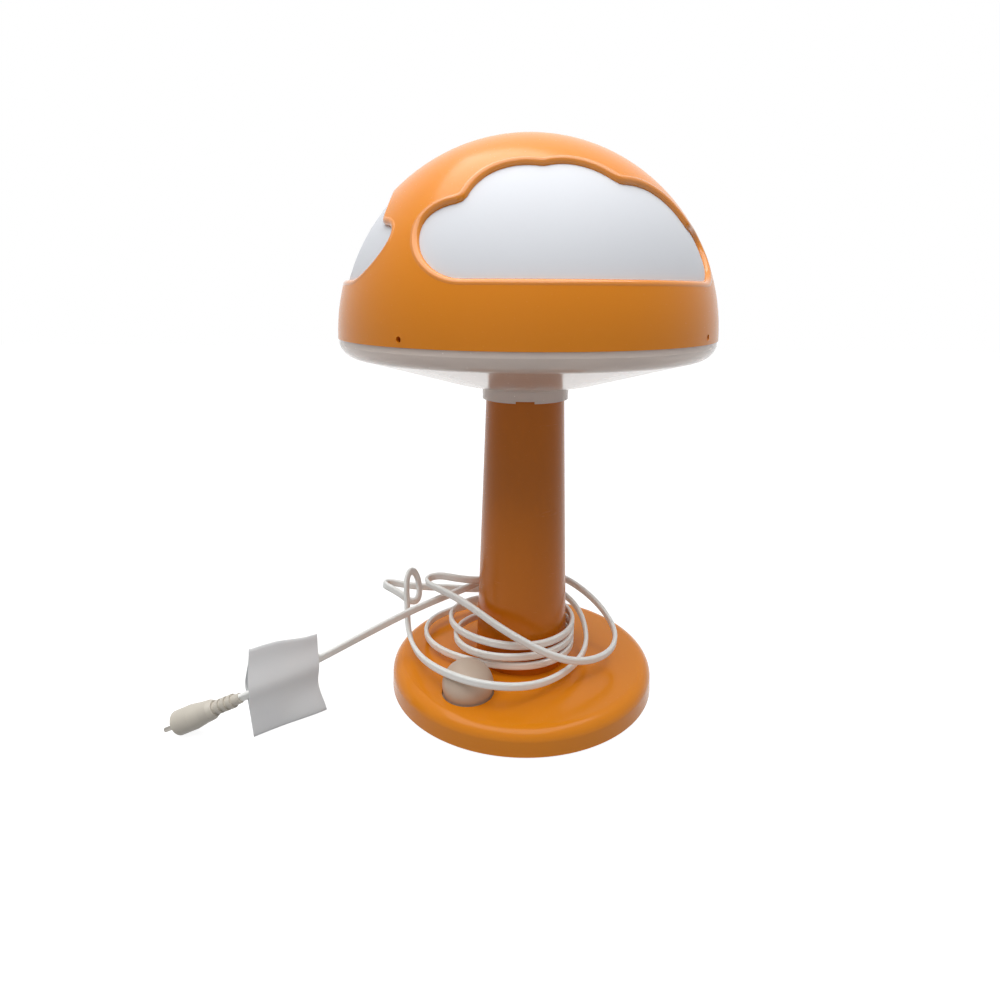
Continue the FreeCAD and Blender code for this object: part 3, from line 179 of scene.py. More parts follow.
class LampSizes(bpy.types.PropertyGroup):
    cord_width: bpy.props.FloatProperty(
        name="Cord width", description="Width of the flat twin cord", default=0.006, subtype="DISTANCE")
    cord_thickness: bpy.props.FloatProperty(
        name="Cord thickness", description="Thickness of the flat twin cord", default=0.0032,
        subtype="DISTANCE")
    cord_sample: bpy.props.FloatProperty(
        name="Cord step", description="Spacing of the rings along the cord", default=0.0018,
        subtype="DISTANCE")
    lip_radius: bpy.props.FloatProperty(
        name="Lip radius", description="Radius of the roll round a window", default=0.0027,
        subtype="DISTANCE")
    lip_outset: bpy.props.FloatProperty(
        name="Lip outset", description="How far the roll's centre stands outside the window", default=0.0018,
        subtype="DISTANCE")
    lip_sunk: bpy.props.FloatProperty(
        name="Lip depth", description="How far the roll's centre lies under the dome's face", default=0.00247,
        subtype="DISTANCE")
    liner_radius: bpy.props.FloatProperty(
        name="Liner radius", description="Outer radius of the opal liner", default=0.1172, subtype="DISTANCE")
    liner_wall: bpy.props.FloatProperty(
        name="Liner wall", description="Thickness of the opal liner", default=0.0018, subtype="DISTANCE")
    tag_width: bpy.props.FloatProperty(
        name="Tag width", description="Length of the tag along the cord", default=0.0485, subtype="DISTANCE")
    tag_height: bpy.props.FloatProperty(
        name="Tag height", description="Height of the folded tag", default=0.0645, subtype="DISTANCE")
    card_thickness: bpy.props.FloatProperty(
        name="Tag card", description="Thickness of the tag's card", default=0.0004, subtype="DISTANCE")
    floor_size: bpy.props.FloatProperty(
        name="Floor", description="Side of the studio floor", default=6.0, subtype="DISTANCE")
    key_energy: bpy.props.FloatProperty(
        name="Overhead light", description="Power of the softbox above the lamp", default=45.0, unit="POWER")
    front_energy: bpy.props.FloatProperty(
        name="Front light", description="Power of the weak light beside the camera", default=0.6,
        unit="POWER")
    sky_strength: bpy.props.FloatProperty(
        name="Sky", description="Strength of the even light from all round", default=0.3)


class LampColours(bpy.types.PropertyGroup):
    orange: bpy.props.FloatVectorProperty(
        name="Orange plastic", description="The dome and base", subtype="COLOR", size=4,
        default=(0.77, 0.245, 0.008, 1.0))
    # Painted shade: the stem's colour is the dome's orange made darker and redder to stand for the shadow the
    # dome casts on the stem.
    stem: bpy.props.FloatVectorProperty(
        name="Stem", description="The stem, a little deeper than the dome", subtype="COLOR", size=4,
        default=(0.60, 0.165, 0.006, 1.0))
    opal: bpy.props.FloatVectorProperty(
        name="Opal liner", description="The white liner in the windows", subtype="COLOR", size=4,
        default=(0.72, 0.74, 0.78, 1.0))
    # Partly painted reflection: the milkiness is the tray's own, the warm tint stands for the orange dome
    # reflected in the tray.
    tray: bpy.props.FloatVectorProperty(
        name="Clear tray", description="The clear tray, a little milky and warm", subtype="COLOR", size=4,
        default=(0.95, 0.84, 0.77, 1.0))
    cord: bpy.props.FloatVectorProperty(
        name="Cord", description="The off-white cord", subtype="COLOR", size=4,
        default=(0.93, 0.94, 0.91, 1.0))
    plug: bpy.props.FloatVectorProperty(
        name="Plug", description="The off-white plug", subtype="COLOR", size=4,
        default=(0.56, 0.52, 0.45, 1.0))
    ball: bpy.props.FloatVectorProperty(
        name="Push button", description="The translucent grey ball", subtype="COLOR", size=4,
        default=(0.66, 0.53, 0.42, 1.0))
    card: bpy.props.FloatVectorProperty(
        name="Tag", description="The bare white card", subtype="COLOR", size=4,
        default=(0.95, 0.97, 1.0, 1.0))


def sizes():
    return bpy.context.scene.lamp_sizes


def colours():
    return bpy.context.scene.lamp_colours


# ---------------------------------------------------------------- shader groups

def new_group(name, inputs, outputs):
    group = bpy.data.node_groups.new(name, "ShaderNodeTree")
    for label, kind, default in inputs:
        socket = group.interface.new_socket(name=label, in_out="INPUT", socket_type=kind)
        if default is not None:
            socket.default_value = default
    for label, kind in outputs:
        group.interface.new_socket(name=label, in_out="OUTPUT", socket_type=kind)
    group.nodes.new("NodeGroupInput").location = (-800, 0)
    group.nodes.new("NodeGroupOutput").location = (600, 0)
    return group


def node(tree, kind, x, y, **settings):
    made = tree.nodes.new(kind)
    made.location = (x, y)
    for key, value in settings.items():
        setattr(made, key, value)
    return made


def moulded_surface_group():
    """Moulded plastic: slow changes of shade, a fine peel height and a roughness that varies a little."""
    group = new_group(
        "Moulded surface",
        [("Vector", "NodeSocketVector", None), ("Shade Scale", "NodeSocketFloat", 18.0),
         ("Peel Scale", "NodeSocketFloat", 900.0), ("Roughness Low", "NodeSocketFloat", 0.2),
         ("Roughness High", "NodeSocketFloat", 0.3)],
        [("Shade", "NodeSocketFloat"), ("Roughness", "NodeSocketFloat"), ("Height", "NodeSocketFloat")],
    )
    start = group.nodes["Group Input"]
    end = group.nodes["Group Output"]
    slow = node(group, "ShaderNodeTexNoise", -500, 200)
    slow.inputs["Detail"].default_value = 3.0
    peel = node(group, "ShaderNodeTexNoise", -500, -200)
    peel.inputs["Detail"].default_value = 2.0
    rough = node(group, "ShaderNodeMapRange", -100, 0)
    link = group.links.new
    link(start.outputs["Vector"], slow.inputs["Vector"])
    link(start.outputs["Vector"], peel.inputs["Vector"])
    link(start.outputs["Shade Scale"], slow.inputs["Scale"])
    link(start.outputs["Peel Scale"], peel.inputs["Scale"])
    link(slow.outputs["Fac"], rough.inputs["Value"])
    link(start.outputs["Roughness Low"], rough.inputs["To Min"])
    link(start.outputs["Roughness High"], rough.inputs["To Max"])
    link(slow.outputs["Fac"], end.inputs["Shade"])
    link(rough.outputs["Result"], end.inputs["Roughness"])
    link(peel.outputs["Fac"], end.inputs["Height"])
    return group


def scuff_group():
    """Small scuffs and specks of dust, as a mask."""
    group = new_group(
        "Scuffs and dust",
        [("Vector", "NodeSocketVector", None), ("Amount", "NodeSocketFloat", 0.2),
         ("Scale", "NodeSocketFloat", 60.0)],
        [("Mask", "NodeSocketFloat")],
    )
    start = group.nodes["Group Input"]
    end = group.nodes["Group Output"]
    stretch = node(group, "ShaderNodeMapping", -620, 150)
    stretch.inputs["Scale"].default_value = (1.0, 1.0, 6.0)
    scuffs = node(group, "ShaderNodeTexNoise", -420, 150)
    scuffs.inputs["Detail"].default_value = 8.0
    scuffs.inputs["Roughness"].default_value = 0.75
    specks = node(group, "ShaderNodeTexVoronoi", -420, -200)
    specks_scale = node(group, "ShaderNodeMath", -620, -200, operation="MULTIPLY")
    specks_scale.inputs[1].default_value = 9.0
    scuff_ramp = node(group, "ShaderNodeMapRange", -200, 150)
    scuff_ramp.inputs["From Min"].default_value = 0.62
    scuff_ramp.inputs["From Max"].default_value = 0.78
    speck_ramp = node(group, "ShaderNodeMapRange", -200, -200)
    speck_ramp.inputs["From Min"].default_value = 0.1
    speck_ramp.inputs["From Max"].default_value = 0.04
    either = node(group, "ShaderNodeMath", 50, 0, operation="MAXIMUM")
    amount = node(group, "ShaderNodeMath", 250, 0, operation="MULTIPLY")
    link = group.links.new
    link(start.outputs["Vector"], stretch.inputs["Vector"])
    link(stretch.outputs["Vector"], scuffs.inputs["Vector"])
    link(start.outputs["Vector"], specks.inputs["Vector"])
    link(start.outputs["Scale"], scuffs.inputs["Scale"])
    link(start.outputs["Scale"], specks_scale.inputs[0])
    link(specks_scale.outputs[0], specks.inputs["Scale"])
    link(scuffs.outputs["Fac"], scuff_ramp.inputs["Value"])
    link(specks.outputs["Distance"], speck_ramp.inputs["Value"])
    link(scuff_ramp.outputs["Result"], either.inputs[0])
    link(speck_ramp.outputs["Result"], either.inputs[1])
    link(either.outputs[0], amount.inputs[0])
    link(start.outputs["Amount"], amount.inputs[1])
    link(amount.outputs[0], end.inputs["Mask"])
    return group


def shared_group(name):
    made = bpy.data.node_groups.get(name)
    if made:
        return made
    return {"Moulded surface": moulded_surface_group, "Scuffs and dust": scuff_group}[name]()


# ---------------------------------------------------------------- materials

SCUFF_DARKENING = 0.8
SCUFF_ROUGHENING = 0.5


def tinted(colour, factor):
    """The colour, lighter or darker by a factor."""
    return (*(min(channel * factor, 1.0) for channel in colour[:3]), 1.0)


def plastic(name, colour, rough=(0.2, 0.3), shade_scale=18.0, variation=0.06, peel_scale=900.0,
            peel_depth=0.00002, scuffs=0.15, scuff_scale=60.0, scuff_colour=None, **shader_values):
    """A surface whose shade, roughness and fine relief come from the shared groups.

    Scuffs are darker than the colour unless they have their own, and any other value goes on the shader.
    """
    material = bpy.data.materials.new(name)
    material.use_nodes = True
    tree = material.node_tree
    shader = tree.nodes["Principled BSDF"]
    place = node(tree, "ShaderNodeTexCoord", -1200, 0)
    surface = node(tree, "ShaderNodeGroup", -900, 100, node_tree=shared_group("Moulded surface"))
    surface.inputs["Shade Scale"].default_value = shade_scale
    surface.inputs["Peel Scale"].default_value = peel_scale
    surface.inputs["Roughness Low"].default_value = rough[0]
    surface.inputs["Roughness High"].default_value = rough[1]
    worn = node(tree, "ShaderNodeGroup", -900, -250, node_tree=shared_group("Scuffs and dust"))
    worn.inputs["Amount"].default_value = scuffs
    worn.inputs["Scale"].default_value = scuff_scale
    shade = node(tree, "ShaderNodeMix", -600, 200, data_type="RGBA")
    shade.inputs["A"].default_value = tinted(colour, 1 - variation)
    shade.inputs["B"].default_value = tinted(colour, 1 + variation)
    dusty = node(tree, "ShaderNodeMix", -350, 200, data_type="RGBA")
    dusty.inputs["B"].default_value = scuff_colour or tinted(colour, SCUFF_DARKENING)
    rougher = node(tree, "ShaderNodeMath", -350, -50, operation="MULTIPLY_ADD", use_clamp=True)
    rougher.inputs[1].default_value = SCUFF_ROUGHENING
    bump = node(tree, "ShaderNodeBump", -350, -300)
    bump.inputs["Distance"].default_value = peel_depth
    link = tree.links.new
    link(place.outputs["Object"], surface.inputs["Vector"])
    link(place.outputs["Object"], worn.inputs["Vector"])
    link(surface.outputs["Shade"], shade.inputs["Factor"])
    link(shade.outputs["Result"], dusty.inputs["A"])
    link(worn.outputs["Mask"], dusty.inputs["Factor"])
    link(dusty.outputs["Result"], shader.inputs["Base Color"])
    link(worn.outputs["Mask"], rougher.inputs[0])
    link(surface.outputs["Roughness"], rougher.inputs[2])
    link(rougher.outputs[0], shader.inputs["Roughness"])
    link(surface.outputs["Height"], bump.inputs["Height"])
    link(bump.outputs["Normal"], shader.inputs["Normal"])
    for label, value in shader_values.items():
        shader.inputs[label.replace("_", " ")].default_value = value
    return material


def orange_gloss():
    return plastic("Orange gloss plastic", colours().orange, rough=(0.16, 0.24), variation=0.03,
                   scuffs=0.25, scuff_scale=30.0, scuff_colour=(0.86, 0.36, 0.06, 1.0),
                   Specular_IOR_Level=0.22, Subsurface_Weight=0.05,
                   Subsurface_Radius=(0.004, 0.0015, 0.0004))


# Painted shade: the stem's colour and its scuff colour are the dome's orange darkened for the dome's shadow
# on the stem.
def stem_gloss_painted_shade():
    return plastic("Stem orange with painted shade", colours().stem, rough=(0.2, 0.3), variation=0.03,
                   scuffs=0.25, scuff_scale=30.0, scuff_colour=(0.66, 0.22, 0.03, 1.0),
                   Specular_IOR_Level=0.2)


def polished_lip():
    return plastic("Orange polished lip", colours().orange, rough=(0.08, 0.14), variation=0.03,
                   scuffs=0.1, scuff_scale=30.0, scuff_colour=(0.86, 0.36, 0.06, 1.0),
                   Specular_IOR_Level=0.4, Coat_Weight=0.3, Coat_Roughness=0.08)


def opal_liner():
    return plastic("Opal liner", colours().opal, rough=(0.55, 0.65), variation=0.01,
                   scuffs=0.06, scuff_scale=26.0, Transmission_Weight=0.1, IOR=1.46)


def clear_tray():
    return plastic("Clear tray plastic", colours().tray, rough=(0.1, 0.18), variation=0.02,
                   peel_scale=260.0, peel_depth=0.00006, scuffs=0.3, scuff_scale=22.0,
                   scuff_colour=(0.96, 0.92, 0.88, 1.0), Transmission_Weight=0.4, IOR=1.45)


def frosted_ball():
    return plastic("Frosted grey ball", colours().ball, rough=(0.4, 0.48), variation=0.05,
                   scuffs=0.05, Transmission_Weight=0.15, IOR=1.49)


def cord_vinyl():
    return plastic("Cord vinyl", colours().cord, rough=(0.36, 0.48), shade_scale=45.0, variation=0.07,
                   peel_scale=1500.0, peel_depth=0.00003, scuffs=0.2, scuff_scale=90.0,
                   scuff_colour=(0.62, 0.58, 0.50, 1.0))


def plug_vinyl():
    return plastic("Plug vinyl", colours().plug, rough=(0.4, 0.52), shade_scale=60.0, variation=0.06,
                   peel_scale=1600.0, peel_depth=0.00004, scuffs=0.4, scuff_scale=120.0,
                   scuff_colour=(0.45, 0.40, 0.32, 1.0))


def bare_card():
    return plastic("Bare card", colours().card, rough=(0.6, 0.7), shade_scale=40.0, variation=0.04,
                   peel_scale=2200.0, peel_depth=0.00004, scuffs=0.15, scuff_scale=70.0)


def metal(name, colour, rough):
    return plastic(name, colour, rough=rough, shade_scale=120.0, variation=0.1, peel_scale=3000.0,
                   peel_depth=0.00001, scuffs=0.3, scuff_scale=300.0, Metallic=1.0)


def frosted_globe():
    return plastic("Frosted bulb", (0.9, 0.9, 0.88, 1.0), rough=(0.4, 0.5), variation=0.01, scuffs=0.05,
                   Subsurface_Weight=0.4, Subsurface_Radius=(0.01, 0.01, 0.01))


# Each finish, with the pieces of the model that have it.
FINISHES = (
    (orange_gloss, ("base_shell", "shade_dome")),
    (stem_gloss_painted_shade, ("stem",)),
    (clear_tray, ("shade_tray",)),
    (frosted_ball, ("push_button",)),
    (frosted_globe, ("bulb_globe",)),
    (lambda: plastic("Dark cover plastic", (0.05, 0.05, 0.05, 1.0), rough=(0.5, 0.6), variation=0.1),
     ("base_bottom_cover", "switch_body")),
    (lambda: plastic("Foot rubber", (0.03, 0.03, 0.03, 1.0), rough=(0.75, 0.85), variation=0.15),
     ("base_feet",)),
    (lambda: plastic("White plastic", (0.76, 0.76, 0.73, 1.0), rough=(0.35, 0.45)),
     ("bulb_housing", "lampholder_body", "switch_plunger", "terminal_block", "cord_clamp")),
    (lambda: plastic("Brown wire", (0.22, 0.12, 0.06, 1.0), rough=(0.4, 0.5)),
     ("lamp_wires", "switch_wires")),
    (lambda: metal("Cast weight", (0.12, 0.12, 0.125, 1.0), (0.55, 0.7)), ("base_weight",)),
    (lambda: metal("Zinc screws", (0.62, 0.62, 0.60, 1.0), (0.28, 0.38)),
     ("base_cover_screws", "stem_screws", "switch_screws", "bracket_screws", "clamp_screws",
      "holder_bracket")),
    (lambda: metal("Brass contacts", (0.72, 0.52, 0.22, 1.0), (0.25, 0.35)),
     ("lampholder_thread", "lampholder_contact", "terminal_screws")),
    (lambda: metal("Nickel", (0.66, 0.64, 0.60, 1.0), (0.18, 0.28)), ("bulb_cap",)),
    # Painted reflection: the pins are bright metal, darkened so that they show dark as if reflecting dim
    # surroundings.
    (lambda: metal("Pin metal with painted dark reflection", (0.34, 0.32, 0.29, 1.0), (0.22, 0.34)), ("plug_pins",)),
    (plug_vinyl, ("plug_body", "plug_relief", "cord_gland")),
    (cord_vinyl, ("cord_inlet",)),
)


def dress(piece, material):
    piece.data.materials.clear()
    piece.data.materials.append(material)


# ---------------------------------------------------------------- operators

def bare_selection():
    if bpy.context.mode != "OBJECT":
        bpy.ops.object.mode_set(mode="OBJECT")
    bpy.ops.object.select_all(action="DESELECT")


class LAMP_OT_camera(bpy.types.Operator):
    """Stands the camera where the photograph was taken from"""
    bl_idname = "lamp.camera"
    bl_label = "Camera"

    def execute(self, context):
        bpy.ops.object.camera_add(location=CAMERA_PLACE)
        camera = context.object
        camera.name = "Photograph camera"
        forward = Vector((
            math.sin(CAMERA_YAW) * math.cos(CAMERA_PITCH),
            math.cos(CAMERA_YAW) * math.cos(CAMERA_PITCH),
            -math.sin(CAMERA_PITCH),
        ))
        right = Vector((math.cos(CAMERA_YAW), -math.sin(CAMERA_YAW), 0))
        up = right.cross(forward)
        rolled_right = math.cos(CAMERA_ROLL) * right + math.sin(CAMERA_ROLL) * up
        rolled_up = math.cos(CAMERA_ROLL) * up - math.sin(CAMERA_ROLL) * right
        turn = Matrix((rolled_right, rolled_up, -forward)).transposed()
        camera.matrix_world = Matrix.Translation(CAMERA_PLACE) @ turn.to_4x4()
        camera.data.sensor_width = SENSOR_WIDTH
        camera.data.lens = FOCAL_PIXELS / FRAME_PIXELS * SENSOR_WIDTH
        camera.data.clip_start = 0.01
        context.scene.camera = camera
        return {"FINISHED"}


def winding_point(turns):
    """The cord's centre after so many turns round the stem, as the model has it, in millimetres."""
    lobe, lobe_angle = WINDING_LOBES[min(int(turns + LOBE_LEAD), WINDINGS - 1)]
    lean = (0.5 + 0.5 * math.cos(math.radians(360 * turns - lobe_angle))) ** LOBE_SHARPNESS
    radius = WINDING_RADIUS + lobe * lean
    height = WINDING_FIRST_HEIGHT + WINDING_CLIMB * turns
    angle = math.radians(360 * turns)
    return Vector((-radius * math.sin(angle), radius * math.cos(angle), height))


def winding_heading(turns):
    """The cord's direction after so many turns."""
    step = 0.002
    return (winding_point(turns + step) - winding_point(turns - step)).normalized()


def winding_points():
    first = WINDING_START / 360
    steps = round((WINDINGS - first) * WINDING_POINTS_PER_TURN)
    return [winding_point(first + (WINDINGS - first) * i / steps) for i in range(steps + 1)]


def cord_route():
    turns = winding_points()
    before_winding = turns[0] - winding_heading(WINDING_START / 360) * STRAIGHT_AT_WINDING
    after_winding = turns[-1] + winding_heading(WINDINGS) * STRAIGHT_AT_WINDING
    before_plug = PLUG_START - PLUG_HEADING * STRAIGHT_AT_PLUG
    points = [Vector(p) for p in EXIT_ROUTE] + [before_winding, *turns, after_winding]
    points += [Vector(p) for p in LOOSE_ROUTE] + [before_plug, PLUG_START]
    return [GLAND_MOUTH] + [p * MM for p in points]


def smooth_line(points, resolution=6):
    """Points along the order-3 NURBS spline that has the given control points."""
    curve = bpy.data.curves.new("Cord route", "CURVE")
    curve.dimensions = "3D"
    spline = curve.splines.new("NURBS")
    spline.points.add(len(points) - 1)
    for slot, point in zip(spline.points, points):
        slot.co = (*point, 1.0)
    spline.order_u = 3
    spline.use_endpoint_u = True
    spline.resolution_u = resolution
    holder = bpy.data.objects.new("Cord route", curve)
    bpy.context.scene.collection.objects.link(holder)
    mesh = bpy.data.meshes.new_from_object(holder)
    line = [v.co.copy() for v in mesh.vertices]
    bpy.data.objects.remove(holder)
    bpy.data.curves.remove(curve)
    bpy.data.meshes.remove(mesh)
    return line


def evenly_spaced(line, step):
    """The same line with points at an even spacing."""
    lengths = [0.0]
    for a, b in zip(line, line[1:]):
        lengths.append(lengths[-1] + (b - a).length)
    count = max(2, round(lengths[-1] / step))
    spaced, at = [], 0
    for i in range(count + 1):
        want = lengths[-1] * i / count
        while at < len(lengths) - 2 and lengths[at + 1] < want:
            at += 1
        share = (want - lengths[at]) / max(lengths[at + 1] - lengths[at], 1e-9)
        spaced.append(line[at].lerp(line[at + 1], min(share, 1.0)))
    return spaced, lengths[-1]


UPRIGHT_PULL = 0.08


def upright_frames(line):
    """Heading and width direction at each point: the width turns little and leans towards upright."""
    up = Vector((0, 0, 1))
    headings = []
    for i in range(len(line)):
        before, after = line[max(i - 1, 0)], line[min(i + 1, len(line) - 1)]
        headings.append((after - before).normalized())
    width = (up - headings[0] * up.dot(headings[0])).normalized()
    frames = []
    for i, heading in enumerate(headings):
        if i:
            width = headings[i - 1].rotation_difference(heading) @ width
        level = up - heading * up.dot(heading)
        pull = level.length ** 2 * UPRIGHT_PULL
        if level.dot(width) < 0:
            level = -level
        width = width * (1 - pull) + level * pull
        width = (width - heading * width.dot(heading)).normalized()
        frames.append((heading, width))
    return frames


WAIST_ANGLE = 62
CORE_POINTS = 7


def twin_section(width, thickness):
    """The outline of a flat twin cord: two round cores side by side, as (along width, across) pairs."""
    radius = thickness / 2
    offset = width / 2 - radius
    dip = math.radians(WAIST_ANGLE)
    sweep = 2 * math.pi - 2 * dip
    outline = []
    for side in (1, -1):
        start = -math.pi + dip if side > 0 else dip
        for i in range(CORE_POINTS):
            angle = start + sweep * i / (CORE_POINTS - 1)
            outline.append((side * offset + radius * math.cos(angle), radius * math.sin(angle)))
    return outline


def swept_mesh(line, frames, section):
    """The section carried along the line, closed at both ends."""
    vertices, faces = [], []
    around = len(section)
    for point, (heading, width) in zip(line, frames):
        across = heading.cross(width)
        vertices += [point + width * a + across * b for a, b in section]
    for ring in range(len(line) - 1):
        low, high = ring * around, (ring + 1) * around
        for i in range(around):
            after = (i + 1) % around
            faces.append((low + i, low + after, high + after, high + i))
    faces.append(tuple(reversed(range(around))))
    faces.append(tuple(range((len(line) - 1) * around, len(line) * around)))
    mesh = bpy.data.meshes.new("Flat cord")
    mesh.from_pydata(vertices, [], faces)
    return mesh


class LAMP_OT_cord(bpy.types.Operator):
    """Winds the flat cord round the stem and leads it through the tag to the plug"""
    bl_idname = "lamp.cord"
    bl_label = "Cord"

    def execute(self, context):
        line, length = evenly_spaced(smooth_line(cord_route()), sizes().cord_sample)
        section = twin_section(sizes().cord_width, sizes().cord_thickness)
        cord = bpy.data.objects.new("flat_cord", swept_mesh(line, upright_frames(line), section))
        context.scene.collection.objects.link(cord)
        bare_selection()
        cord.select_set(True)
        context.view_layer.objects.active = cord
        bpy.ops.object.mode_set(mode="EDIT")
        bpy.ops.mesh.select_all(action="SELECT")
        bpy.ops.mesh.normals_make_consistent(inside=False)
        bpy.ops.object.mode_set(mode="OBJECT")
        bpy.ops.object.shade_smooth_by_angle(angle=math.radians(70))
        dress(cord, cord_vinyl())
        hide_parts("cord_exit", "cord_winding", "cord_lead")
        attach(cord, "base")
        print(f"cord length {length:.3f} m")
        return {"FINISHED"}


# The windows' outline as in the model: lobes as (across, up from the sill, radius), right end first.
CLOUD_LOBES = ((69.0, 14.5, 14.5), (26.0, -5.4, 54.0), (-7.7, 15.6, 41.8), (-27.0, 15.3, 41.0),
               (-60.9, 14.0, 23.4), (-70.3, 14.0, 14.0))
CUSP_RADIUS = 7.0
WINDOW_SILL = 287.0
WINDOW_AZIMUTHS = (22.0, 142.0, 262.0)
DOME_RADIUS = 120.0
DOME_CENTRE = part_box("shade_dome")[1].z / MM - DOME_RADIUS
# The roll's points are this far apart, and two that are nearer than the second figure are one.
BEAD_STEP = 2.5
SAME_POINT = 0.2


def arc_points(centre, radius, start, end):
    """Points along an arc, from one angle to another, both in radians."""
    count = max(2, math.ceil(abs(end - start) * radius / BEAD_STEP))
    angles = [start + (end - start) * i / count for i in range(count + 1)]
    return [(centre[0] + radius * math.cos(a), centre[1] + radius * math.sin(a)) for a in angles]


def cusp_centre(lobe, after):
    """The centre of the rounding that two lobes share, outside both."""
    (x1, z1, r1), (x2, z2, r2) = lobe, after
    to_first, to_second = r1 + CUSP_RADIUS, r2 + CUSP_RADIUS
    apart = math.hypot(x2 - x1, z2 - z1)
    across, up = (x2 - x1) / apart, (z2 - z1) / apart
    along = (to_first ** 2 - to_second ** 2 + apart ** 2) / (2 * apart)
    aside = math.sqrt(to_first ** 2 - along ** 2)
    return x1 + along * across + aside * up, z1 + along * up - aside * across


def window_outline(outset):
    """The window's outline seen square on, moved outwards by outset, as (across, up) points."""
    points = []
    angle = -math.pi / 2
    for index, (x, z, radius) in enumerate(CLOUD_LOBES):
        if index < len(CLOUD_LOBES) - 2:
            cx, cz = cusp_centre(CLOUD_LOBES[index], CLOUD_LOBES[index + 1])
            leave = math.atan2(cz - z, cx - x)
            points += arc_points((x, z), radius + outset, angle, leave)
            x2, z2, _ = CLOUD_LOBES[index + 1]
            turned = math.atan2(cz - z2, cx - x2)
            points += arc_points((cx, cz), CUSP_RADIUS - outset, leave + math.pi, turned + math.pi)[1:]
            angle = turned
        else:
            leave = math.pi if index == len(CLOUD_LOBES) - 2 else 1.5 * math.pi
            points += arc_points((x, z), radius + outset, angle, leave)
            angle = leave
    left, right = points[-1], points[0]
    count = round((right[0] - left[0]) / BEAD_STEP)
    points += [(left[0] + (right[0] - left[0]) * i / count, left[1]) for i in range(1, count)]
    return [a for a, b in zip(points, points[-1:] + points[:-1]) if math.dist(a, b) > SAME_POINT]


def on_dome(across, up, azimuth, radius):
    """The place on a sphere about the dome's centre that a point of the outline looks at."""
    rise = WINDOW_SILL + up - DOME_CENTRE
    out = math.sqrt(max(radius ** 2 - across ** 2 - rise ** 2, 0.0))
    turn = math.radians(azimuth)
    side, front = Vector((math.cos(turn), math.sin(turn), 0)), Vector((math.sin(turn), -math.cos(turn), 0))
    return (side * across + front * out + Vector((0, 0, DOME_CENTRE + rise))) * MM


class LAMP_OT_shade(bpy.types.Operator):
    """Adds the rolled lip round each window and the opal liner that stands close behind them"""
    bl_idname = "lamp.shade"
    bl_label = "Shade"

    def execute(self, context):
        self.lips(context)
        self.liner(context)
        return {"FINISHED"}

    def lips(self, context):
        curve = bpy.data.curves.new("window_lips", "CURVE")
        curve.dimensions = "3D"
        curve.bevel_depth = sizes().lip_radius
        curve.bevel_resolution = 4
        outset, sunk = sizes().lip_outset / MM, sizes().lip_sunk / MM
        for azimuth in WINDOW_AZIMUTHS:
            outline = window_outline(outset)
            spline = curve.splines.new("POLY")
            spline.points.add(len(outline) - 1)
            for slot, (across, up) in zip(spline.points, outline):
                slot.co = (*on_dome(across, up, azimuth, DOME_RADIUS - sunk), 1.0)
            spline.use_cyclic_u = True
        lips = bpy.data.objects.new("window_lips", curve)
        context.scene.collection.objects.link(lips)
        bare_selection()
        lips.select_set(True)
        context.view_layer.objects.active = lips
        bpy.ops.object.convert(target="MESH")
        bpy.ops.object.shade_smooth()
        dress(context.object, polished_lip())
        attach(context.object, "dome")

    def liner(self, context):
        bare_selection()
        bpy.ops.mesh.primitive_uv_sphere_add(segments=128, ring_count=72, radius=sizes().liner_radius,
                                             location=(0, 0, DOME_CENTRE * MM))
        liner = context.object
        liner.name = "opal_liner"
        bpy.ops.object.transform_apply(location=True, rotation=True, scale=True)
        bpy.ops.object.mode_set(mode="EDIT")
        bpy.ops.mesh.select_all(action="SELECT")
        liner_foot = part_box("shade_diffuser")[0].z
        bpy.ops.mesh.bisect(plane_co=(0, 0, liner_foot), plane_no=(0, 0, 1), clear_inner=True)
        bpy.ops.object.mode_set(mode="OBJECT")
        wall = liner.modifiers.new("Wall", "SOLIDIFY")
        wall.thickness = sizes().liner_wall
        wall.offset = -1
        bpy.ops.object.modifier_apply(modifier="Wall")
        bpy.ops.object.shade_smooth_by_angle(angle=math.radians(40))
        dress(liner, opal_liner())
        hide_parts("shade_diffuser")
        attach(liner, "dome")


TAG_CORNER = Vector((-175.6, -84.9, 0.3)) * MM
TAG_TURN = math.radians(41.8)
TAG_ROWS = 14
TAG_COLUMNS = 12
# The leaves' gap, in metres, and where along the height, as a share, they are spread for the cord.
LEAF_GAP = 0.0012
CORD_BULGE = ((0.48, 2.0), (0.58, 2.6), (0.66, 1.6))
BULGE_REACH = 0.2
# Where the card is pulled, as shares of its width and height, and by how much, in metres.
CURLS = (
    (0.0, 1.0, (0.0042, 0.0, 0.0006)),
    (1.0, 1.0, (0.0010, 0.0, -0.0042)),
    (1.0, 0.30, (-0.0016, 0.0, 0.0)),
    (1.0, 0.0, (0.0022, -0.0036, 0.0010)),
    (0.0, 0.0, (0.0006, 0.0006, 0.0)),
)
CURL_REACH = 0.4
GRIP_ACROSS = 0.09
GRIP_UP = 0.07


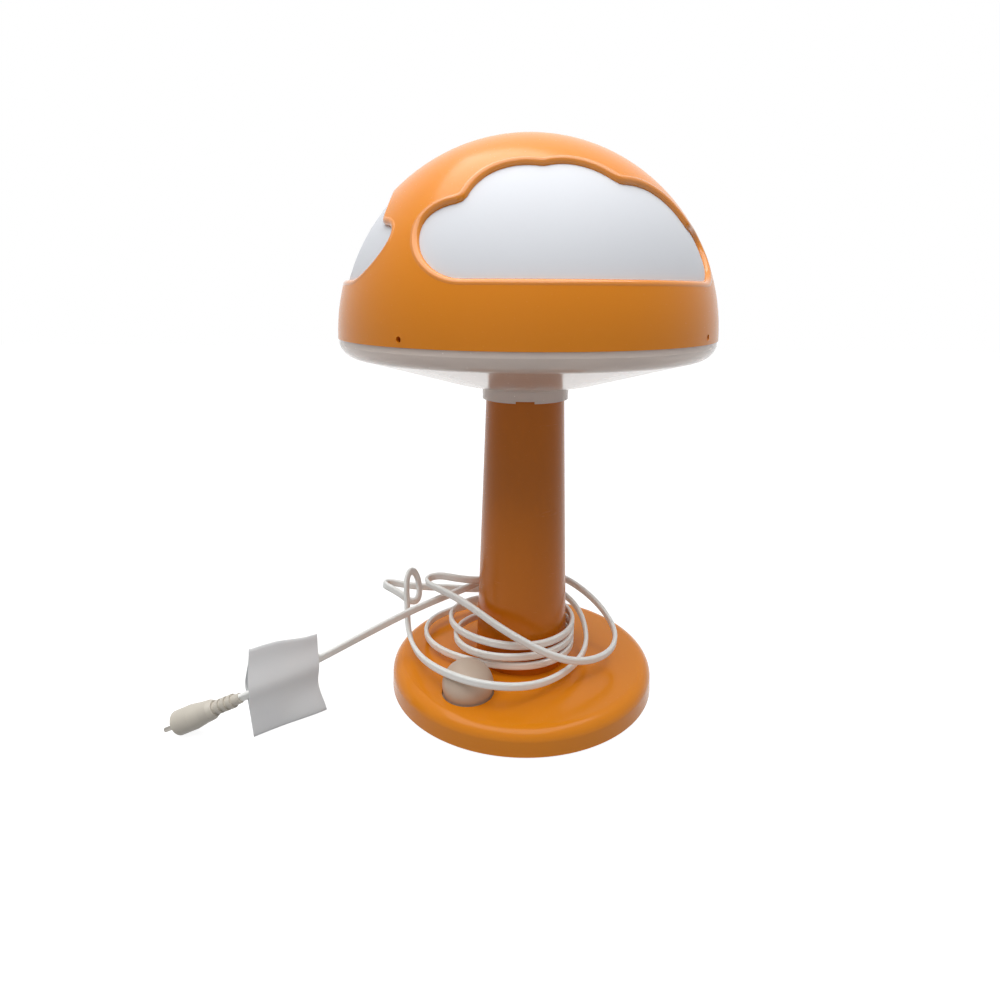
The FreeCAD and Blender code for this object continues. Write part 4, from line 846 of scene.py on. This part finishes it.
class LAMP_OT_tag(bpy.types.Operator):
    """Folds the bare card tag round the cord, where it stands on its lower edge"""
    bl_idname = "lamp.tag"
    bl_label = "Tag"

    def execute(self, context):
        width, tall = sizes().tag_width, sizes().tag_height
        bare_selection()
        bpy.ops.mesh.primitive_cube_add(size=1.0)
        tag = context.object
        tag.name = "bare_tag"
        bpy.ops.transform.resize(value=(width, LEAF_GAP, tall))
        bpy.ops.transform.translate(value=(width / 2, 0, tall / 2))
        bpy.ops.object.transform_apply(location=True, rotation=True, scale=True)
        bpy.ops.object.mode_set(mode="EDIT")
        self.pick(tag, face=lambda f: abs(f.normal.x) > 0.9)
        bpy.ops.mesh.delete(type="FACE")
        self.slice_up(width, tall)
        self.round_over_cord(tag, width, tall)
        self.curl(tag, width, tall)
        bpy.ops.object.mode_set(mode="OBJECT")
        self.thicken(tag)
        tag.rotation_euler.z = TAG_TURN
        tag.location = TAG_CORNER
        bpy.ops.object.transform_apply(location=True, rotation=True, scale=True)
        bpy.ops.object.shade_smooth_by_angle(angle=math.radians(40))
        dress(tag, bare_card())
        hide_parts("cord_tag")
        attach(tag, "base")
        return {"FINISHED"}

    def pick(self, tag, face=None, vertex=None):
        """Selects the faces or vertices that a test holds for."""
        bpy.ops.mesh.select_mode(type="VERT" if vertex else "FACE")
        bpy.ops.mesh.select_all(action="DESELECT")
        bpy.ops.object.mode_set(mode="OBJECT")
        for item in (tag.data.vertices if vertex else tag.data.polygons):
            item.select = (vertex or face)(item)
        bpy.ops.object.mode_set(mode="EDIT")

    def slice_up(self, width, tall):
        for count, length, axis in ((TAG_COLUMNS, width, 0), (TAG_ROWS, tall, 2)):
            for i in range(1, count):
                place, square = [0, 0, 0], [0, 0, 0]
                place[axis], square[axis] = length * i / count, 1
                bpy.ops.mesh.select_all(action="SELECT")
                bpy.ops.mesh.bisect(plane_co=place, plane_no=square)

    def round_over_cord(self, tag, width, tall):
        """The two leaves bulge where the cord lies between them."""
        for share, spread in CORD_BULGE:
            self.pick(tag, vertex=lambda v: abs(v.co.z - tall * share) < tall / TAG_ROWS)
            bpy.ops.transform.resize(value=(1, spread, 1), center_override=(width / 2, 0, tall * share),
                                     use_proportional_edit=True, proportional_edit_falloff="SMOOTH",
                                     proportional_size=tall * BULGE_REACH)

    def curl(self, tag, width, tall):
        """The left edge leans, the right edge waves and its lower corner flares out, as the card has set."""
        for reach, rise, move in CURLS:
            self.pick(tag, vertex=lambda v: abs(v.co.x - width * reach) < width * GRIP_ACROSS
                      and abs(v.co.z - tall * rise) < tall * GRIP_UP)
            bpy.ops.transform.translate(value=move, use_proportional_edit=True,
                                        proportional_edit_falloff="SMOOTH",
                                        proportional_size=tall * CURL_REACH)

    def thicken(self, tag):
        bend = tag.modifiers.new("Smooth folds", "SUBSURF")
        bend.levels = bend.render_levels = 1
        card = tag.modifiers.new("Card", "SOLIDIFY")
        card.thickness = sizes().card_thickness
        card.offset = -1
        for name in ("Smooth folds", "Card"):
            bpy.ops.object.modifier_apply(modifier=name)


class LAMP_OT_finishes(bpy.types.Operator):
    """Gives each carried-over piece of the model its finish"""
    bl_idname = "lamp.finishes"
    bl_label = "Finishes"

    def execute(self, context):
        bare_selection()
        for make, names in FINISHES:
            material = make()
            for name in names:
                dress(NODES[name], material)
        return {"FINISHED"}


class LAMP_OT_studio(bpy.types.Operator):
    """Lays the pale floor and sets the soft light"""
    bl_idname = "lamp.studio"
    bl_label = "Studio"

    def execute(self, context):
        bare_selection()
        bpy.ops.mesh.primitive_plane_add(size=sizes().floor_size, location=(0, 0, 0))
        floor = context.object
        floor.name = "studio_floor"
        dress(floor, white_floor())
        self.softbox("overhead softbox", place=(-0.1, -0.2, 1.7), aim=(0, 0, 0.1), size=2.2,
                     energy=sizes().key_energy)
        self.softbox("front softbox", place=(-0.6, -1.9, 0.9), aim=(0, 0, 0.15), size=1.6,
                     energy=sizes().front_energy)
        self.sky(context)
        context.scene.view_settings.view_transform = "Standard"
        return {"FINISHED"}

    def softbox(self, name, place, aim, size, energy):
        bpy.ops.object.light_add(type="AREA", location=place)
        lamp = bpy.context.object
        lamp.name = name
        lamp.data.shape = "SQUARE"
        lamp.data.size = size
        lamp.data.energy = energy
        lamp.rotation_euler = (Vector(aim) - Vector(place)).to_track_quat("-Z", "Y").to_euler()

    def sky(self, context):
        world = bpy.data.worlds.new("Even light")
        context.scene.world = world
        world.use_nodes = True
        tree = world.node_tree
        tree.nodes.clear()
        seen = node(tree, "ShaderNodeLightPath", -600, 200)
        glossy = node(tree, "ShaderNodeMath", -400, 200, operation="MAXIMUM")
        through = node(tree, "ShaderNodeMath", -200, 200, operation="MAXIMUM")
        lit = node(tree, "ShaderNodeBackground", -200, 0)
        lit.inputs["Strength"].default_value = sizes().sky_strength
        shown = node(tree, "ShaderNodeBackground", -200, -200)
        shown.inputs["Color"].default_value = (1.0, 1.0, 1.0, 1.0)
        either = node(tree, "ShaderNodeMixShader", 100, 0)
        end = node(tree, "ShaderNodeOutputWorld", 300, 0)
        link = tree.links.new
        link(seen.outputs["Is Camera Ray"], glossy.inputs[0])
        link(seen.outputs["Is Glossy Ray"], glossy.inputs[1])
        link(glossy.outputs[0], through.inputs[0])
        link(seen.outputs["Is Transmission Ray"], through.inputs[1])
        link(through.outputs[0], either.inputs["Fac"])
        link(lit.outputs["Background"], either.inputs[1])
        link(shown.outputs["Background"], either.inputs[2])
        link(either.outputs["Shader"], end.inputs["Surface"])


FLOOR_SHADE = 0.3
FLOOR_GLOW = 0.9


def white_floor():
    """Pale matt floor that the camera sees as white, with the lamp's soft shadow kept."""
    material = bpy.data.materials.new("White studio floor")
    material.use_nodes = True
    tree = material.node_tree
    shader = tree.nodes["Principled BSDF"]
    shader.inputs["Base Color"].default_value = (FLOOR_SHADE, FLOOR_SHADE, FLOOR_SHADE, 1.0)
    shader.inputs["Roughness"].default_value = 0.9
    shader.inputs["Specular IOR Level"].default_value = 0.1
    shader.inputs["Emission Color"].default_value = (1.0, 1.0, 1.0, 1.0)
    seen = node(tree, "ShaderNodeLightPath", -800, 0)
    either = node(tree, "ShaderNodeMath", -600, 0, operation="MAXIMUM")
    through = node(tree, "ShaderNodeMath", -450, 0, operation="MAXIMUM")
    share = node(tree, "ShaderNodeMath", -250, 0, operation="MULTIPLY")
    share.inputs[1].default_value = FLOOR_GLOW
    link = tree.links.new
    link(seen.outputs["Is Camera Ray"], either.inputs[0])
    link(seen.outputs["Is Glossy Ray"], either.inputs[1])
    link(either.outputs[0], through.inputs[0])
    link(seen.outputs["Is Transmission Ray"], through.inputs[1])
    link(through.outputs[0], share.inputs[0])
    link(share.outputs[0], shader.inputs["Emission Strength"])
    return material


class LAMP_PT_sidebar(bpy.types.Panel):
    """The lamp's steps and sizes"""
    bl_idname = "LAMP_PT_sidebar"
    bl_label = "Lamp"
    bl_space_type = "VIEW_3D"
    bl_region_type = "UI"
    bl_category = "Lamp"

    def draw(self, context):
        for step in STEPS:
            self.layout.operator(step.bl_idname)
        for name in LampSizes.__annotations__:
            self.layout.prop(context.scene.lamp_sizes, name)
        for name in LampColours.__annotations__:
            self.layout.prop(context.scene.lamp_colours, name)


STEPS = (LAMP_OT_camera, LAMP_OT_tag, LAMP_OT_cord, LAMP_OT_shade, LAMP_OT_finishes, LAMP_OT_studio)
CLASSES = (LampSizes, LampColours, *STEPS, LAMP_PT_sidebar)


def register():
    for made in CLASSES:
        bpy.utils.register_class(made)
    bpy.types.Scene.lamp_sizes = bpy.props.PointerProperty(type=LampSizes)
    bpy.types.Scene.lamp_colours = bpy.props.PointerProperty(type=LampColours)


def unregister():
    del bpy.types.Scene.lamp_colours
    del bpy.types.Scene.lamp_sizes
    for made in reversed(CLASSES):
        bpy.utils.unregister_class(made)


def main():
    register()
    bpy.ops.lamp.camera()
    bpy.ops.lamp.tag()
    bpy.ops.lamp.cord()
    bpy.ops.lamp.shade()
    bpy.ops.lamp.finishes()
    bpy.ops.lamp.studio()


if __name__ == "__main__":
    main()
